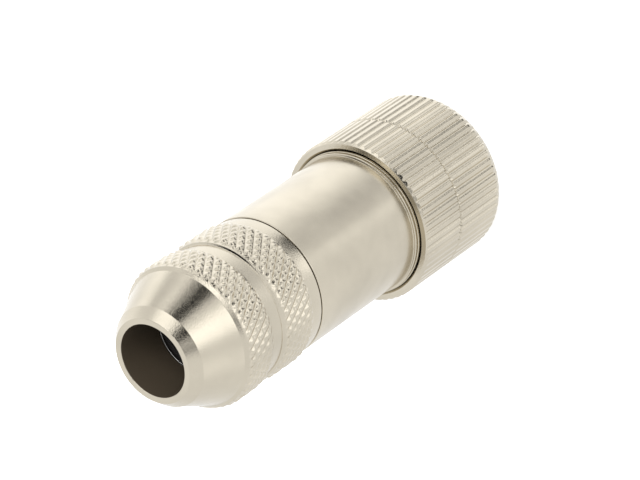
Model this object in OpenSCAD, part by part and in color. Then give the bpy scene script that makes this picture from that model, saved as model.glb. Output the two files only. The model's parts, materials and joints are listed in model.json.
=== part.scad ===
// M12 socket connector for field wiring, shielded, straight.
// +Z runs from the mating face (z = 0) to the cable end. All sizes are in millimetres.

/* [Coupling nut] */
// Diameter over the straight knurl
coupling_d = 20; // [19:0.1:22]
// Length of the coupling nut
coupling_len = 15.35; // [14.5:0.05:18]
// Chamfer on both outer edges
coupling_chamfer = 0.5; // [0.3:0.05:0.7]
// Teeth in each band of straight knurl
coupling_teeth = 64; // [48:4:72]
// Width of a knurl groove at the outside
coupling_groove_w = 0.6; // [0.4:0.05:0.7]
// Depth of a knurl groove
coupling_groove_depth = 0.26; // [0.2:0.02:0.4]
// Chamfer on the rear bore's edge
coupling_bore_chamfer = 0.2; // [0.1:0.05:0.3]
// Length of the front knurl band, up to the seam
coupling_front_band = 8.45; // [6:0.05:10]
// Core diameter of the M12 thread
coupling_thread_d = 11; // [10.8:0.05:11.2]
// Depth of the M12 thread from the front face
coupling_thread_len = 7.4; // [7:0.1:8]
// Countersink at the mouth of the thread
coupling_lead_in = 0.6; // [0.4:0.05:0.8]
// Length of the run-out behind the thread
coupling_relief_len = 0.8; // [0.8:0.05:1.1]
// Diameter of the run-out behind the thread
coupling_relief_d = 12.3; // [12.1:0.1:13]
// Thickness of the inner shoulder
coupling_shoulder = 1.6; // [1.2:0.1:2]
// Wall behind the shoulder, from the bore to the knurl's crests
coupling_wall = 0.96; // [0.8:0.02:1.2]

/* [Shell and insert] */
// Distance of the insert's face behind the mating face
insert_recess = 0.9; // [0.3:0.1:1.5]
// Diameter of the insert's nose
nose_d = 8.3; // [8:0.1:8.5]
// Width of the key slot in the nose
key_w = 1.1; // [0.9:0.05:1.3]
// Depth of the key slot
key_depth = 0.7; // [0.5:0.05:0.8]
// Length of the key slot
key_len = 5; // [4:0.5:6]
// Wall of the shell's neck round the nose
neck_wall = 0.78; // [0.7:0.02:0.85]
// Length of the neck in front of the retaining ring's groove
neck_front_len = 0.9; // [0.7:0.1:1.2]
// Depth of the retaining ring's groove
ring_groove_depth = 0.38; // [0.3:0.02:0.45]
// Thickness of the retaining ring
ring_t = 0.6; // [0.5:0.05:0.65]
// Opening of the retaining ring
ring_opening = 1.6; // [1:0.1:2.4]
// Thickness of the shell's web
web_t = 1.3; // [1:0.1:1.6]
// How far the shell's rear flange stands out of the coupling nut
shell_proud = 0.17; // [0.1:0.01:0.4]
// Length of the shell's full-width rear flange
shell_flange_len = 1.2; // [0.8:0.1:1.6]
// Clearance round the shell's cup, in front of that flange
shell_cup_gap = 0.4; // [0.3:0.05:0.5]
// Thickness of the insert's flange
insert_flange_t = 1.4; // [1:0.1:2]
// Length of the insert's terminal block
block_len = 7; // [6.5:0.1:8]
// Length of the middle terminal's column behind the block
column_len = 5; // [4.6:0.1:6]
// Diameter of that column
column_d = 3.1; // [3:0.05:3.2]

/* [Contacts] */
// Distance between neighbouring outer contacts
contact_pitch = 4; // [3.9:0.02:4.1]
// Diameter of the hole that takes the pin
pin_hole_d = 1.06; // [1.02:0.02:1.2]
// Depth of that hole
pin_hole_len = 6.6; // [5:0.1:7.5]
// Outside diameter of the socket
socket_d = 1.64; // [1.5:0.02:1.8]
// Width of the slot through the socket
socket_slot_w = 0.22; // [0.15:0.01:0.3]
// Length of the slot
socket_slot_len = 4.6; // [3:0.1:5]
// Length of the socket in front of its collar
socket_len = 8.2; // [7.6:0.1:9]
// Distance of the socket's tip behind the insert's face
socket_recess = 0.4; // [0.2:0.1:0.8]
// Step of the collar round the socket
collar_step = 0.2; // [0.15:0.05:0.3]
// Length of the collar
collar_len = 0.8; // [0.6:0.1:1]
// Diameter of the contact's shank
shank_d = 1.3; // [1.1:0.05:1.5]
// Countersink round each contact in the insert's face
contact_mouth = 0.3; // [0.2:0.05:0.4]
// Diameter of an outer terminal head
head_d = 2.6; // [2.4:0.05:2.7]
// Diameter of the middle terminal head
middle_head_d = 2.3; // [2.1:0.05:2.4]
// Length of a terminal head
head_len = 5.2; // [4.6:0.1:5.4]
// Diameter of the wire hole in a head
wire_hole_d = 1.3; // [1:0.05:1.4]
// Depth of the wire hole
wire_hole_len = 4.2; // [3.4:0.1:4.4]
// Place of the terminal screw along the head, as a share of its length
screw_place = 0.6; // [0.5:0.05:0.7]
// Diameter of a terminal screw's thread
screw_d = 1.3; // [1.2:0.05:1.5]
// Diameter of a terminal screw's head
screw_head_d = 1.8; // [1.7:0.05:2]
// Length of a terminal screw's head
screw_head_len = 1; // [0.7:0.05:1.2]
// Width and depth of a screw's slot
screw_slot = 0.35; // [0.25:0.05:0.4]

/* [Sleeve] */
// Step from the coupling nut's knurl down to the sleeve
sleeve_step = 1.52; // [1.4:0.02:1.8]
// Length of the sleeve between the shell and the clamp nut
sleeve_len = 17.9; // [16:0.1:24]
// Width of the bead at the sleeve's front
bead_w = 0.42; // [0.3:0.02:0.6]
// Height of the bead above the sleeve
bead_h = 0.3; // [0.2:0.02:0.4]
// Wall of the sleeve
sleeve_wall = 1.78; // [1.4:0.02:2]
// Step from the sleeve down to the front thread, which screws into the shell
front_thread_step = 0.53; // [0.45:0.01:0.7]
// Length of the sealing land between bead and front thread
seal_land = 1.8; // [1.6:0.05:2]
// Thickness of the shell's sealing ring
o_ring_t = 0.62; // [0.55:0.01:0.65]
// Length of the rear thread, which carries the clamp nut
rear_thread_len = 7.1; // [6:0.1:7.5]
// Wall of the rear thread
rear_thread_wall = 1.25; // [1.1:0.05:1.4]
// Thickness of the ledge between the two bores
ledge_t = 1; // [0.8:0.1:1.4]
// Chamfer at the start of either thread
thread_edge = 0.3; // [0.2:0.05:0.4]
// Broken edge of the turned pieces
small_edge = 0.1; // [0.05:0.01:0.15]
// How far the ledge stands into the bore
ledge_w = 0.6; // [0.5:0.05:0.8]
// Distance of the ledge in front of the sleeve's rear shoulder
ledge_back = 2.5; // [2:0.1:3]

/* [Shield parts] */
// Wall of the distance sleeve
distance_wall = 0.7; // [0.5:0.05:0.9]
// Length of the shield ring
shield_ring_len = 2; // [1.6:0.1:2.6]
// Width of the shield ring at its small opening
shield_ring_w = 1.96; // [1.6:0.02:2.2]
// Thickness of the iris spring
iris_t = 0.25; // [0.2:0.05:0.35]
// Width of the iris spring's rim
iris_rim = 1.2; // [1:0.05:1.4]
// Fingers of the iris spring
iris_fingers = 12; // [8:1:16]
// Share of the round that the gaps between the fingers take
iris_gap_share = 0.2; // [0.1:0.05:0.4]
// Reach of a finger from the rim inwards
iris_reach = 1.96; // [1.6:0.02:2.4]
// Rise of the fingers towards the insert
iris_rise = 0.9; // [0.6:0.1:1.2]

/* [Cable clamp] */
// Wall of the cable seal at its ribs
seal_wall = 1.15; // [1.05:0.01:1.3]
// Ribs inside the cable seal
seal_ribs = 4; // [2:1:6]
// Height of a rib
seal_rib_h = 0.3; // [0.2:0.05:0.4]
// Wall of the cage
cage_wall = 0.97; // [0.8:0.01:1.1]
// Length of the cage's closed ring
cage_ring_len = 3.4; // [2.5:0.1:4.5]
// Fingers of the cage
cage_fingers = 10; // [8:1:12]
// Width of the gap between two fingers
cage_slot_w = 0.9; // [0.6:0.05:1.1]
// Thickness of the lip that holds the seal
cage_lip = 0.8; // [0.6:0.1:1]
// Thickness of the slip washer
washer_t = 0.5; // [0.3:0.05:0.6]
// Width of the slip washer
washer_w = 1.46; // [1.2:0.02:1.6]

/* [Clamp nut] */
// Length of the clamp nut
clamp_len = 19.35; // [19:0.05:22]
// Length of the slight cone on the land next to the sleeve
clamp_lead_len = 1.5; // [0.8:0.1:1.7]
// Smooth length in front of the first knurl band
clamp_front_land = 1.75; // [1.3:0.05:2.2]
// Length of the diamond knurl band next to the sleeve
knurl_front_len = 4.9; // [4.2:0.05:5.2]
// Length of the diamond knurl band next to the flare
knurl_rear_len = 4.3; // [3.6:0.05:4.4]
// Height of the knurl's crests above the smooth land
knurl_h = 0.32; // [0.2:0.02:0.4]
// Height of the knurl's groove crossings above the smooth land
knurl_root_h = 0.1; // [0.05:0.01:0.15]
// Grooves each way round the clamp nut
knurl_count = 48; // [40:1:56]
// Angle of the knurl grooves to the axis
knurl_angle = 33; // [25:1:40]
// Width of the smooth groove between the bands
waist_w = 2.3; // [1.8:0.05:2.6]
// Depth of that groove below the land
waist_depth = 0.25; // [0.1:0.01:0.35]
// Length of the slopes beside that groove and in front of the flare
waist_slope = 0.15; // [0.1:0.05:0.3]
// Step from the land down to the flare's wide end
flare_step = 0.38; // [0.2:0.02:0.5]
// Length of the flare
flare_len = 4.5; // [4:0.05:5]
// Fall of the flare's radius from its wide to its narrow end
flare_drop = 2.1; // [1.8:0.05:2.3]
// Step from the flare's narrow end up to the nose ring
clamp_nose_step = 0.05; // [0.02:0.01:0.1]
// Length of the nose ring
clamp_nose_len = 1.25; // [1:0.05:1.4]
// Bevel from the nose ring's cone to its front face
clamp_nose_bevel = 0.6; // [0.4:0.05:0.8]
// Width of the nose ring's front face
clamp_nose_face_w = 0.73; // [0.5:0.01:1]
// Length of the bore for the cable
cable_bore_len = 6.5; // [6:0.1:7]
// Width of the shoulder between that bore and the seat for the washer
bore_shoulder = 1.66; // [1.5:0.02:1.9]
// Wall round the clamp nut's thread
clamp_wall = 0.95; // [0.8:0.05:1.1]
// Length of the seat for the washer
washer_seat_len = 1.2; // [1:0.1:1.4]
// Length of the inner cone that closes the cage
clamp_cone_len = 2.6; // [2:0.1:2.8]
// Fall of the inner cone's radius
clamp_cone_drop = 1.53; // [1.3:0.02:1.6]

/* [Fits] */
// Radial clearance between pieces that turn or slide
running_gap = 0.07; // [0.04:0.01:0.1]
// Radial clearance between pieces that are pushed together
push_gap = 0.04; // [0.03:0.01:0.06]
// Radial clearance in a thread
thread_gap = 0.08; // [0.06:0.01:0.1]
// Axial play of a turning piece
axial_play = 0.1; // [0.06:0.01:0.15]
// Clearance round the terminal block
block_gap = 0.3; // [0.2:0.05:0.5]
// Clearance between the clamp nut's cone and the cage
cone_gap = 0.15; // [0.1:0.01:0.2]

/* [Hidden] */
$fn = 96;
// Overlap that lets a cutter pass through a face
cut = 0.5;

// Heights along the axis, from the mating face
shoulder_z = coupling_thread_len + coupling_relief_len;
rear_bore_z = shoulder_z + coupling_shoulder;
web_z = rear_bore_z + axial_play;
insert_seat_z = web_z + web_t;
flange_end_z = insert_seat_z + insert_flange_t;
block_end_z = flange_end_z + block_len;
column_end_z = block_end_z + column_len;
shell_end_z = coupling_len + shell_proud;
sleeve_end_z = shell_end_z + sleeve_len;
rear_thread_end_z = sleeve_end_z + rear_thread_len;
ledge_z = sleeve_end_z - ledge_back;
cage_seat_z = ledge_z + ledge_t;
shield_ring_z = ledge_z - iris_t - shield_ring_len;
clamp_z = sleeve_end_z + axial_play;
clamp_end_z = clamp_z + clamp_len;
bore_floor_z = clamp_end_z - cable_bore_len;
washer_z = bore_floor_z - push_gap - washer_t;
seal_end_z = washer_z - axial_play;
cone_end_z = bore_floor_z - washer_seat_len;
cone_z = cone_end_z - clamp_cone_len;
cage_end_z = cone_end_z - axial_play;

// Radii that follow from the fits
nose_r = nose_d / 2;
shell_bore_r = nose_r + push_gap;
neck_r = shell_bore_r + neck_wall;
ring_groove_r = neck_r - ring_groove_depth;
ring_z = shoulder_z - axial_play - ring_t;
neck_z = ring_z - push_gap - neck_front_len;
coupling_bore_r = coupling_d / 2 - coupling_wall;
shell_flange_r = coupling_bore_r - 2 * running_gap - push_gap;
shell_cup_r = coupling_bore_r - shell_cup_gap;
sleeve_r = coupling_d / 2 - sleeve_step;
front_thread_r = sleeve_r - front_thread_step;
cup_bore_r = front_thread_r + thread_gap;
insert_flange_r = cup_bore_r - block_gap;
sleeve_bore_r = sleeve_r - sleeve_wall;
block_r = sleeve_bore_r - block_gap;
land_start_z = shell_end_z - seal_land;
stack_r = sleeve_bore_r - push_gap;
land_r = sleeve_r;
clamp_bore_r = land_r - clamp_wall;
rear_thread_r = clamp_bore_r - thread_gap;
rear_bore_r = rear_thread_r - rear_thread_wall;
ledge_r = rear_bore_r - ledge_w;
cage_r = rear_bore_r - push_gap;
cage_bore_r = cage_r - cage_wall;
seal_r = cage_bore_r - push_gap;
seal_bore_r = seal_r - seal_wall;
washer_seat_r = clamp_bore_r - clamp_cone_drop;
washer_r = washer_seat_r - push_gap;
cable_bore_r = washer_seat_r - bore_shoulder;
flare_r = land_r - flare_step;
flare_small_r = flare_r - flare_drop;

// Places of the contacts
contact_angles = [45, 135, 225, 315];
contact_r = contact_pitch / sqrt(2);
head_z = block_end_z - head_len;
middle_head_z = column_end_z - head_len;
socket_z = insert_recess + socket_recess;
collar_z = socket_z + socket_len;
collar_r = socket_d / 2 + collar_step;

// ---------------------------------------------------------------- shared forms

// One turned piece: an outline of [radius, height] corners swept round the axis
module turned(corners) {
  rotate_extrude() polygon(corners);
}

// Tube between two heights
module tube(z0, z1, outer_r, inner_r) {
  turned([[inner_r, z0], [outer_r, z0], [outer_r, z1], [inner_r, z1]]);
}

// Ring of round section that lies in a groove
module round_ring(z, middle_r, section_r) {
  translate([0, 0, z]) rotate_extrude() translate([middle_r, 0]) circle(section_r);
}

// Straight drill from one height to another
module drill(z0, z1, r) {
  translate([0, 0, z0]) cylinder(r = r, h = z1 - z0);
}

// Band of straight knurl: V grooves with a flat crest between them, left a little proud
module straight_knurl(z0, z1, r, teeth, groove_w, groove_depth, start) {
  pitch_a = 360 / teeth;
  half_groove_a = asin(groove_w / 2 / r);
  proud = 0.1;
  spread = half_groove_a * (groove_depth + proud) / groove_depth;
  translate([0, 0, z0]) linear_extrude(z1 - z0) polygon([
    for (i = [0:teeth - 1])
      for (p = [[0, r - groove_depth], [spread, r + proud], [pitch_a - spread, r + proud]])
        let (a = start + i * pitch_a + p[0]) [p[1] * cos(a), p[1] * sin(a)]
  ]);
}

// Band of diamond knurl: a ring whose outside is a net of pyramids between crossing grooves
module diamond_knurl(z0, length, inner_r, root_r, crest_r) {
  columns = 2 * knurl_count;
  half_w = PI * (root_r + crest_r) / 2 / knurl_count;
  rows = max(2, round(length * tan(knurl_angle) / half_w));
  outside = [
    for (j = [0:rows]) for (i = [0:columns - 1])
      let (r = (i + j) % 2 == 0 ? root_r : crest_r, a = 360 * i / columns)
        [r * cos(a), r * sin(a), z0 + length * j / rows]
  ];
  inside = [
    for (z = [z0, z0 + length]) for (i = [0:columns - 1])
      let (a = 360 * i / columns) [inner_r * cos(a), inner_r * sin(a), z]
  ];
  first_in = len(outside);
  last_row = rows * columns;
  cells = [
    for (j = [0:rows - 1]) for (i = [0:columns - 1])
      let (
        n = (i + 1) % columns,
        a = j * columns + i, b = j * columns + n,
        d = a + columns, c = b + columns,
        root_first = (i + j) % 2 == 0
      )
      each root_first ? [[a, c, b], [a, d, c]] : [[a, d, b], [b, d, c]]
  ];
  walls = [
    for (i = [0:columns - 1])
      let (
        n = (i + 1) % columns,
        p = first_in + i, q = first_in + n,
        s = p + columns, t = q + columns
      )
      each [
        [p, q, t], [p, t, s],
        [i, n, q], [i, q, p],
        [last_row + i, t, last_row + n], [last_row + i, s, t]
      ]
  ];
  polyhedron(points = concat(outside, inside), faces = concat(cells, walls));
}

// Places a thing at one outer contact
module at_contact(number) {
  rotate(contact_angles[number - 1]) translate([contact_r, 0, 0]) children();
}

// ---------------------------------------------------------------- coupling nut

module coupling_nut() {
  outer_r = coupling_d / 2;
  c = coupling_chamfer;
  color("gainsboro") difference() {
    intersection() {
      turned([
        [0, 0], [outer_r - c, 0], [outer_r, c],
        [outer_r, coupling_len - c], [outer_r - c, coupling_len], [0, coupling_len]
      ]);
      union() {
        straight_knurl(-cut, coupling_front_band, outer_r, coupling_teeth,
          coupling_groove_w, coupling_groove_depth, 0);
        straight_knurl(coupling_front_band, coupling_len + cut, outer_r, coupling_teeth,
          coupling_groove_w, coupling_groove_depth, 180 / coupling_teeth);
      }
    }
    coupling_inside();
  }
}

// Thread core, run-out, shoulder bore and rear bore of the coupling nut
module coupling_inside() {
  thread_r = coupling_thread_d / 2;
  relief_r = coupling_relief_d / 2;
  turned([
    [0, -cut], [thread_r + coupling_lead_in + cut, -cut], [thread_r, coupling_lead_in],
    [thread_r, coupling_thread_len], [relief_r, coupling_thread_len],
    [relief_r, shoulder_z], [neck_r + running_gap, shoulder_z],
    [neck_r + running_gap, rear_bore_z], [coupling_bore_r, rear_bore_z],
    [coupling_bore_r, coupling_len - coupling_bore_chamfer],
    [coupling_bore_r + coupling_bore_chamfer + cut, coupling_len + cut],
    [0, coupling_len + cut]
  ]);
}

// Open spring ring in the neck's groove
module nut_retaining_ring() {
  outer_r = coupling_relief_d / 2 - 2 * running_gap;
  color("silver") difference() {
    tube(ring_z, ring_z + ring_t, outer_r, ring_groove_r + push_gap);
    translate([0, -ring_opening / 2, ring_z - cut])
      cube([coupling_d, ring_opening, ring_t + 2 * cut]);
  }
}

// ---------------------------------------------------------------- shell and insert

// Sealing ring on the neck's front face, round the insert's nose
module front_seal_ring() {
  section_r = neck_wall / 2;
  color("darkgreen")
    round_ring(neck_z - section_r, nose_r + push_gap + section_r, section_r);
}

// Turned metal body: neck with the ring's groove, web, cup and rear flange
module insert_shell() {
  groove_0 = ring_z - push_gap;
  groove_1 = ring_z + ring_t + push_gap;
  flange_z = shell_end_z - shell_flange_len;
  color("gainsboro") turned([
    [shell_bore_r, neck_z], [neck_r - small_edge, neck_z], [neck_r, neck_z + small_edge],
    [neck_r, groove_0], [ring_groove_r, groove_0], [ring_groove_r, groove_1], [neck_r, groove_1],
    [neck_r, web_z], [shell_cup_r, web_z], [shell_cup_r, flange_z], [shell_flange_r, flange_z],
    [shell_flange_r, shell_end_z - small_edge], [shell_flange_r - small_edge, shell_end_z],
    [cup_bore_r, shell_end_z], [cup_bore_r, insert_seat_z], [shell_bore_r, insert_seat_z]
  ]);
}

// Black moulding: nose with the key slot, flange, terminal block and middle column
module contact_insert() {
  key_z = insert_recess + key_len;
  color("dimgray") difference() {
    union() {
      drill(insert_recess, insert_seat_z, nose_r);
      drill(insert_seat_z, flange_end_z, insert_flange_r);
      drill(insert_seat_z, block_end_z, block_r);
      drill(insert_seat_z, column_end_z, column_d / 2);
    }
    translate([-key_w / 2, nose_r - key_depth, insert_recess - cut])
      cube([key_w, key_depth + cut, key_z - insert_recess + cut]);
    for (number = [1:4]) at_contact(number) {
      contact_cavity(head_z, head_d / 2, block_end_z);
      screw_way(head_z, block_r + cut);
    }
    contact_cavity(middle_head_z, middle_head_d / 2, column_end_z);
    screw_way(middle_head_z, column_d);
  }
}

// Stepped way for one contact, open at the face and at the rear
module contact_cavity(z_head, head_r, z_end) {
  way_r = socket_d / 2 + push_gap;
  step_r = collar_r + push_gap;
  turned([
    [0, insert_recess - cut], [way_r + contact_mouth + cut, insert_recess - cut],
    [way_r, insert_recess + contact_mouth], [way_r, collar_z], [step_r, collar_z],
    [step_r, z_head], [head_r + push_gap, z_head], [head_r + push_gap, z_end + cut],
    [0, z_end + cut]
  ]);
}

// Way in for the screwdriver
module screw_way(z_head, length) {
  translate([0, 0, screw_z(z_head)]) rotate([0, 90, 0])
    cylinder(r = screw_head_d / 2 + push_gap, h = length);
}

function screw_z(z_head) = z_head + head_len * screw_place;

// ---------------------------------------------------------------- contacts

// Turned socket with a slotted front, a collar, a shank and a screw terminal
module socket_contact(z_head, head_r) {
  difference() {
    union() {
      drill(socket_z, collar_z + collar_len, socket_d / 2);
      drill(collar_z, collar_z + collar_len, collar_r);
      drill(collar_z, z_head + cut, shank_d / 2);
      drill(z_head, z_head + head_len, head_r);
    }
    drill(socket_z - cut, socket_z + pin_hole_len, pin_hole_d / 2);
    translate([-socket_d, -socket_slot_w / 2, socket_z - cut])
      cube([2 * socket_d, socket_slot_w, socket_slot_len + cut]);
    drill(z_head + head_len - wire_hole_len, z_head + head_len + cut, wire_hole_d / 2);
    translate([0, 0, screw_z(z_head)]) rotate([0, 90, 0])
      cylinder(r = screw_d / 2 + push_gap, h = head_r + cut);
  }
}

module outer_contact(number) {
  color("gold") at_contact(number) socket_contact(head_z, head_d / 2);
}

module socket_contact_1() outer_contact(1);
module socket_contact_2() outer_contact(2);
module socket_contact_3() outer_contact(3);
module socket_contact_4() outer_contact(4);
module socket_contact_5() color("gold") socket_contact(middle_head_z, middle_head_d / 2);

// Small slotted screw that lies along +X, its tip in the wire hole's wall
module terminal_screw(z_head, head_r) {
  tip_x = wire_hole_d / 2 - running_gap;
  head_x = head_r + push_gap;
  translate([0, 0, screw_z(z_head)]) rotate([0, 90, 0]) difference() {
    union() {
      drill(tip_x, head_x + cut / 2, screw_d / 2);
      drill(head_x, head_x + screw_head_len, screw_head_d / 2);
    }
    translate([-screw_head_d, -screw_slot / 2, head_x + screw_head_len - screw_slot])
      cube([2 * screw_head_d, screw_slot, screw_slot + cut]);
  }
}

module terminal_screws() {
  color("lightsteelblue") {
    for (number = [1:4]) at_contact(number) terminal_screw(head_z, head_d / 2);
    terminal_screw(middle_head_z, middle_head_d / 2);
  }
}

// ---------------------------------------------------------------- sleeve

// Sealing ring between the sleeve and the shell
module shell_o_ring() {
  section_r = o_ring_t / 2;
  color("black")
    round_ring(land_start_z + seal_land / 2, cup_bore_r - push_gap - section_r, section_r);
}

// Turned sleeve: front thread with the seal's groove, bead, plain body, ledge and rear thread
module body_sleeve() {
  groove_r = cup_bore_r - 2 * push_gap - o_ring_t;
  groove_half = o_ring_t / 2 + push_gap;
  groove_z = land_start_z + seal_land / 2;
  bead_r = sleeve_r + bead_h;
  bead_end_z = shell_end_z + bead_w;
  color("gainsboro") turned([
    [sleeve_bore_r, flange_end_z], [front_thread_r - thread_edge, flange_end_z],
    [front_thread_r, flange_end_z + thread_edge],
    [front_thread_r, groove_z - groove_half], [groove_r, groove_z - groove_half],
    [groove_r, groove_z + groove_half], [front_thread_r, groove_z + groove_half],
    [front_thread_r, shell_end_z], [bead_r - small_edge, shell_end_z],
    [bead_r, shell_end_z + small_edge], [bead_r, bead_end_z - small_edge],
    [bead_r - small_edge, bead_end_z], [sleeve_r, bead_end_z],
    [sleeve_r, sleeve_end_z - small_edge], [sleeve_r - small_edge, sleeve_end_z],
    [rear_thread_r, sleeve_end_z], [rear_thread_r, rear_thread_end_z - thread_edge],
    [rear_thread_r - thread_edge, rear_thread_end_z], [rear_bore_r, rear_thread_end_z],
    [rear_bore_r, cage_seat_z], [ledge_r, cage_seat_z], [ledge_r, ledge_z],
    [sleeve_bore_r, ledge_z]
  ]);
}

// ---------------------------------------------------------------- shield parts

module distance_sleeve() {
  color("whitesmoke") tube(block_end_z, shield_ring_z, stack_r, stack_r - distance_wall);
}

// Ring with an inner cone that spreads the cable's braid
module shield_ring() {
  wide_r = stack_r - distance_wall;
  small_r = stack_r - shield_ring_w;
  color("gainsboro") turned([
    [small_r, shield_ring_z], [stack_r, shield_ring_z], [stack_r, ledge_z - iris_t],
    [wide_r, ledge_z - iris_t], [small_r, shield_ring_z + shield_ring_len / 3]
  ]);
}

// Thin ring with fingers that lean towards the insert
module iris_spring() {
  rim_inner_r = stack_r - iris_rim;
  tip_r = rim_inner_r - iris_reach;
  finger_a = 360 / iris_fingers;
  gap_a = finger_a * iris_gap_share;
  color("silver") {
    tube(ledge_z - iris_t, ledge_z, stack_r, rim_inner_r);
    for (i = [0:iris_fingers - 1]) rotate(i * finger_a) rotate_extrude(angle = finger_a - gap_a)
      polygon([
        [rim_inner_r + iris_t, ledge_z], [rim_inner_r + iris_t, ledge_z - iris_t],
        [rim_inner_r, ledge_z - iris_t], [tip_r, ledge_z - iris_t - iris_rise],
        [tip_r, ledge_z - iris_rise], [rim_inner_r, ledge_z]
      ]);
  }
}

// ---------------------------------------------------------------- cable clamp

// Closed ring with fingers; their tips follow the clamp nut's inner cone
module clamp_cage() {
  cone_wide_r = clamp_bore_r - cone_gap;
  cone_tip_r = washer_seat_r - cone_gap;
  lip_r = cage_bore_r - seal_rib_h - cage_lip;
  rise_z = rear_thread_end_z + axial_play;
  bulge_z = min(rise_z + cone_wide_r - cage_r, cone_z - push_gap);
  color("slategray") difference() {
    turned([
      [lip_r, cage_seat_z], [cage_r, cage_seat_z], [cage_r, rise_z], [cone_wide_r, bulge_z],
      [cone_wide_r, cone_z], [cone_tip_r, cage_end_z], [cage_bore_r, cage_end_z],
      [cage_bore_r, cage_seat_z + cage_lip], [lip_r, cage_seat_z + cage_lip]
    ]);
    for (i = [0:cage_fingers - 1]) rotate(i * 360 / cage_fingers)
      translate([0, -cage_slot_w / 2, cage_seat_z + cage_ring_len])
        cube([coupling_d, cage_slot_w, cage_end_z]);
  }
}

// Grommet with ribs inside that close on the cable
module cable_seal() {
  start_z = cage_seat_z + cage_lip;
  rib_pitch = (seal_end_z - start_z) / (seal_ribs + 1);
  bore_r = seal_bore_r + seal_rib_h;
  color([0.1, 0.1, 0.1]) turned(concat(
    [[seal_r, seal_end_z], [seal_bore_r, seal_end_z]],
    [
      for (i = [seal_ribs:-1:1])
        let (z = start_z + i * rib_pitch)
          each [[bore_r, z + seal_rib_h], [seal_bore_r, z], [bore_r, z - seal_rib_h]]
    ],
    [[bore_r, start_z], [seal_r, start_z]]
  ));
}

module slip_washer() {
  color("silver") tube(washer_z, washer_z + washer_t, washer_r, washer_r - washer_w);
}

// ---------------------------------------------------------------- clamp nut

module clamp_nut() {
  knurl_1_z = clamp_z + clamp_front_land;
  waist_z = knurl_1_z + knurl_front_len;
  embed_r = (clamp_bore_r + land_r) / 2;
  root_r = land_r + knurl_root_h;
  color("gainsboro") {
    difference() {
      clamp_outside(waist_z);
      clamp_inside();
    }
    diamond_knurl(knurl_1_z, knurl_front_len, embed_r, root_r, land_r + knurl_h);
    diamond_knurl(waist_z + waist_w, knurl_rear_len, embed_r, root_r, land_r + knurl_h);
  }
}

// Turned outside: cone, land, waist between the knurl bands, flare and bevelled nose ring
module clamp_outside(waist_z) {
  slope = waist_slope;
  waist_r = land_r - waist_depth;
  flare_end_z = clamp_end_z - clamp_nose_len;
  flare_z = flare_end_z - flare_len;
  ring_r = flare_small_r + clamp_nose_step;
  face_r = cable_bore_r + clamp_nose_face_w;
  turned([
    [0, clamp_z], [land_r - small_edge, clamp_z], [land_r, clamp_z + clamp_lead_len],
    [land_r, waist_z + slope], [waist_r, waist_z + 2 * slope],
    [waist_r, waist_z + waist_w - 2 * slope], [land_r, waist_z + waist_w - slope],
    [land_r, flare_z - slope], [flare_r, flare_z], [flare_small_r, flare_end_z],
    [ring_r, flare_end_z], [face_r + clamp_nose_bevel, clamp_end_z - clamp_nose_bevel],
    [face_r, clamp_end_z], [0, clamp_end_z]
  ]);
}

// Thread core, inner cone, washer seat and cable bore
module clamp_inside() {
  turned([
    [0, clamp_z - cut], [clamp_bore_r, clamp_z - cut], [clamp_bore_r, cone_z],
    [washer_seat_r, cone_end_z], [washer_seat_r, bore_floor_z],
    [cable_bore_r, bore_floor_z], [cable_bore_r, clamp_end_z + cut], [0, clamp_end_z + cut]
  ]);
}

coupling_nut();
nut_retaining_ring();
front_seal_ring();
insert_shell();
contact_insert();
socket_contact_1();
socket_contact_2();
socket_contact_3();
socket_contact_4();
socket_contact_5();
terminal_screws();
shell_o_ring();
body_sleeve();
distance_sleeve();
shield_ring();
iris_spring();
clamp_cage();
cable_seal();
slip_washer();
clamp_nut();
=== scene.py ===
"""Looks of a straight shielded M12 cable socket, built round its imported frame.

Each sub-assembly is a class that holds its sizes in millimetres, builds its meshes in the part's
frame (+Z from the mating end to the cable end) and dresses them. Turned pieces are outlines swept
round the axis. The two knurled nuts are one sector each, which a node tree repeats round the axis,
and a second tree cuts the fine threads. The studio's walls carry soft patches that the nickel
mirrors.
"""

import json
import logging
import math
from dataclasses import dataclass
from enum import Enum
from typing import Optional, Sequence

import bmesh
import bpy
import numpy as np
from mathutils import Matrix, Vector

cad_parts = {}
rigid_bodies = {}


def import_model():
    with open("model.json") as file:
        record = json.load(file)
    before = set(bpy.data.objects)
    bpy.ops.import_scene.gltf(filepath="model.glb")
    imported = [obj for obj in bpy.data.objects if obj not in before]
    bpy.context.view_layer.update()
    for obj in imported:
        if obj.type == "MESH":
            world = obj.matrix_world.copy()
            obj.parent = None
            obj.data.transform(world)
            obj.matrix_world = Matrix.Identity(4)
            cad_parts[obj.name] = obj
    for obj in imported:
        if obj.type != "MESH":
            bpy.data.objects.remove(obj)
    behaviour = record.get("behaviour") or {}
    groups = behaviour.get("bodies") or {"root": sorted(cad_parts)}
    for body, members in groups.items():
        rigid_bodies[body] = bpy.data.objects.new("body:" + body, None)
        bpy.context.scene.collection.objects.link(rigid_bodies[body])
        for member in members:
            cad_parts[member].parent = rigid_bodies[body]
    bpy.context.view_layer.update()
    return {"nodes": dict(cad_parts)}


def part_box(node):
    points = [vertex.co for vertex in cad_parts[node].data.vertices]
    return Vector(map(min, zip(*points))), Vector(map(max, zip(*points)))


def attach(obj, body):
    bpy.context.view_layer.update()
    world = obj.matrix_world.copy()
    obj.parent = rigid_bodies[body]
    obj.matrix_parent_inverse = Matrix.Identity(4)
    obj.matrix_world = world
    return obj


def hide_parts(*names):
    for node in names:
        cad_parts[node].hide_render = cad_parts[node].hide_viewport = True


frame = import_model()

log = logging.getLogger("m12_cable_socket")

MM = 0.001
# Distance in metres below which points are welded
WELD = 2e-7
THREAD_ATTRIBUTE = "thread_depth"

Point = tuple[float, float]
Place = tuple[float, float, float]
Colour = tuple[float, float, float]


# ------------------------------------------------------------------ outlines


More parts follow.
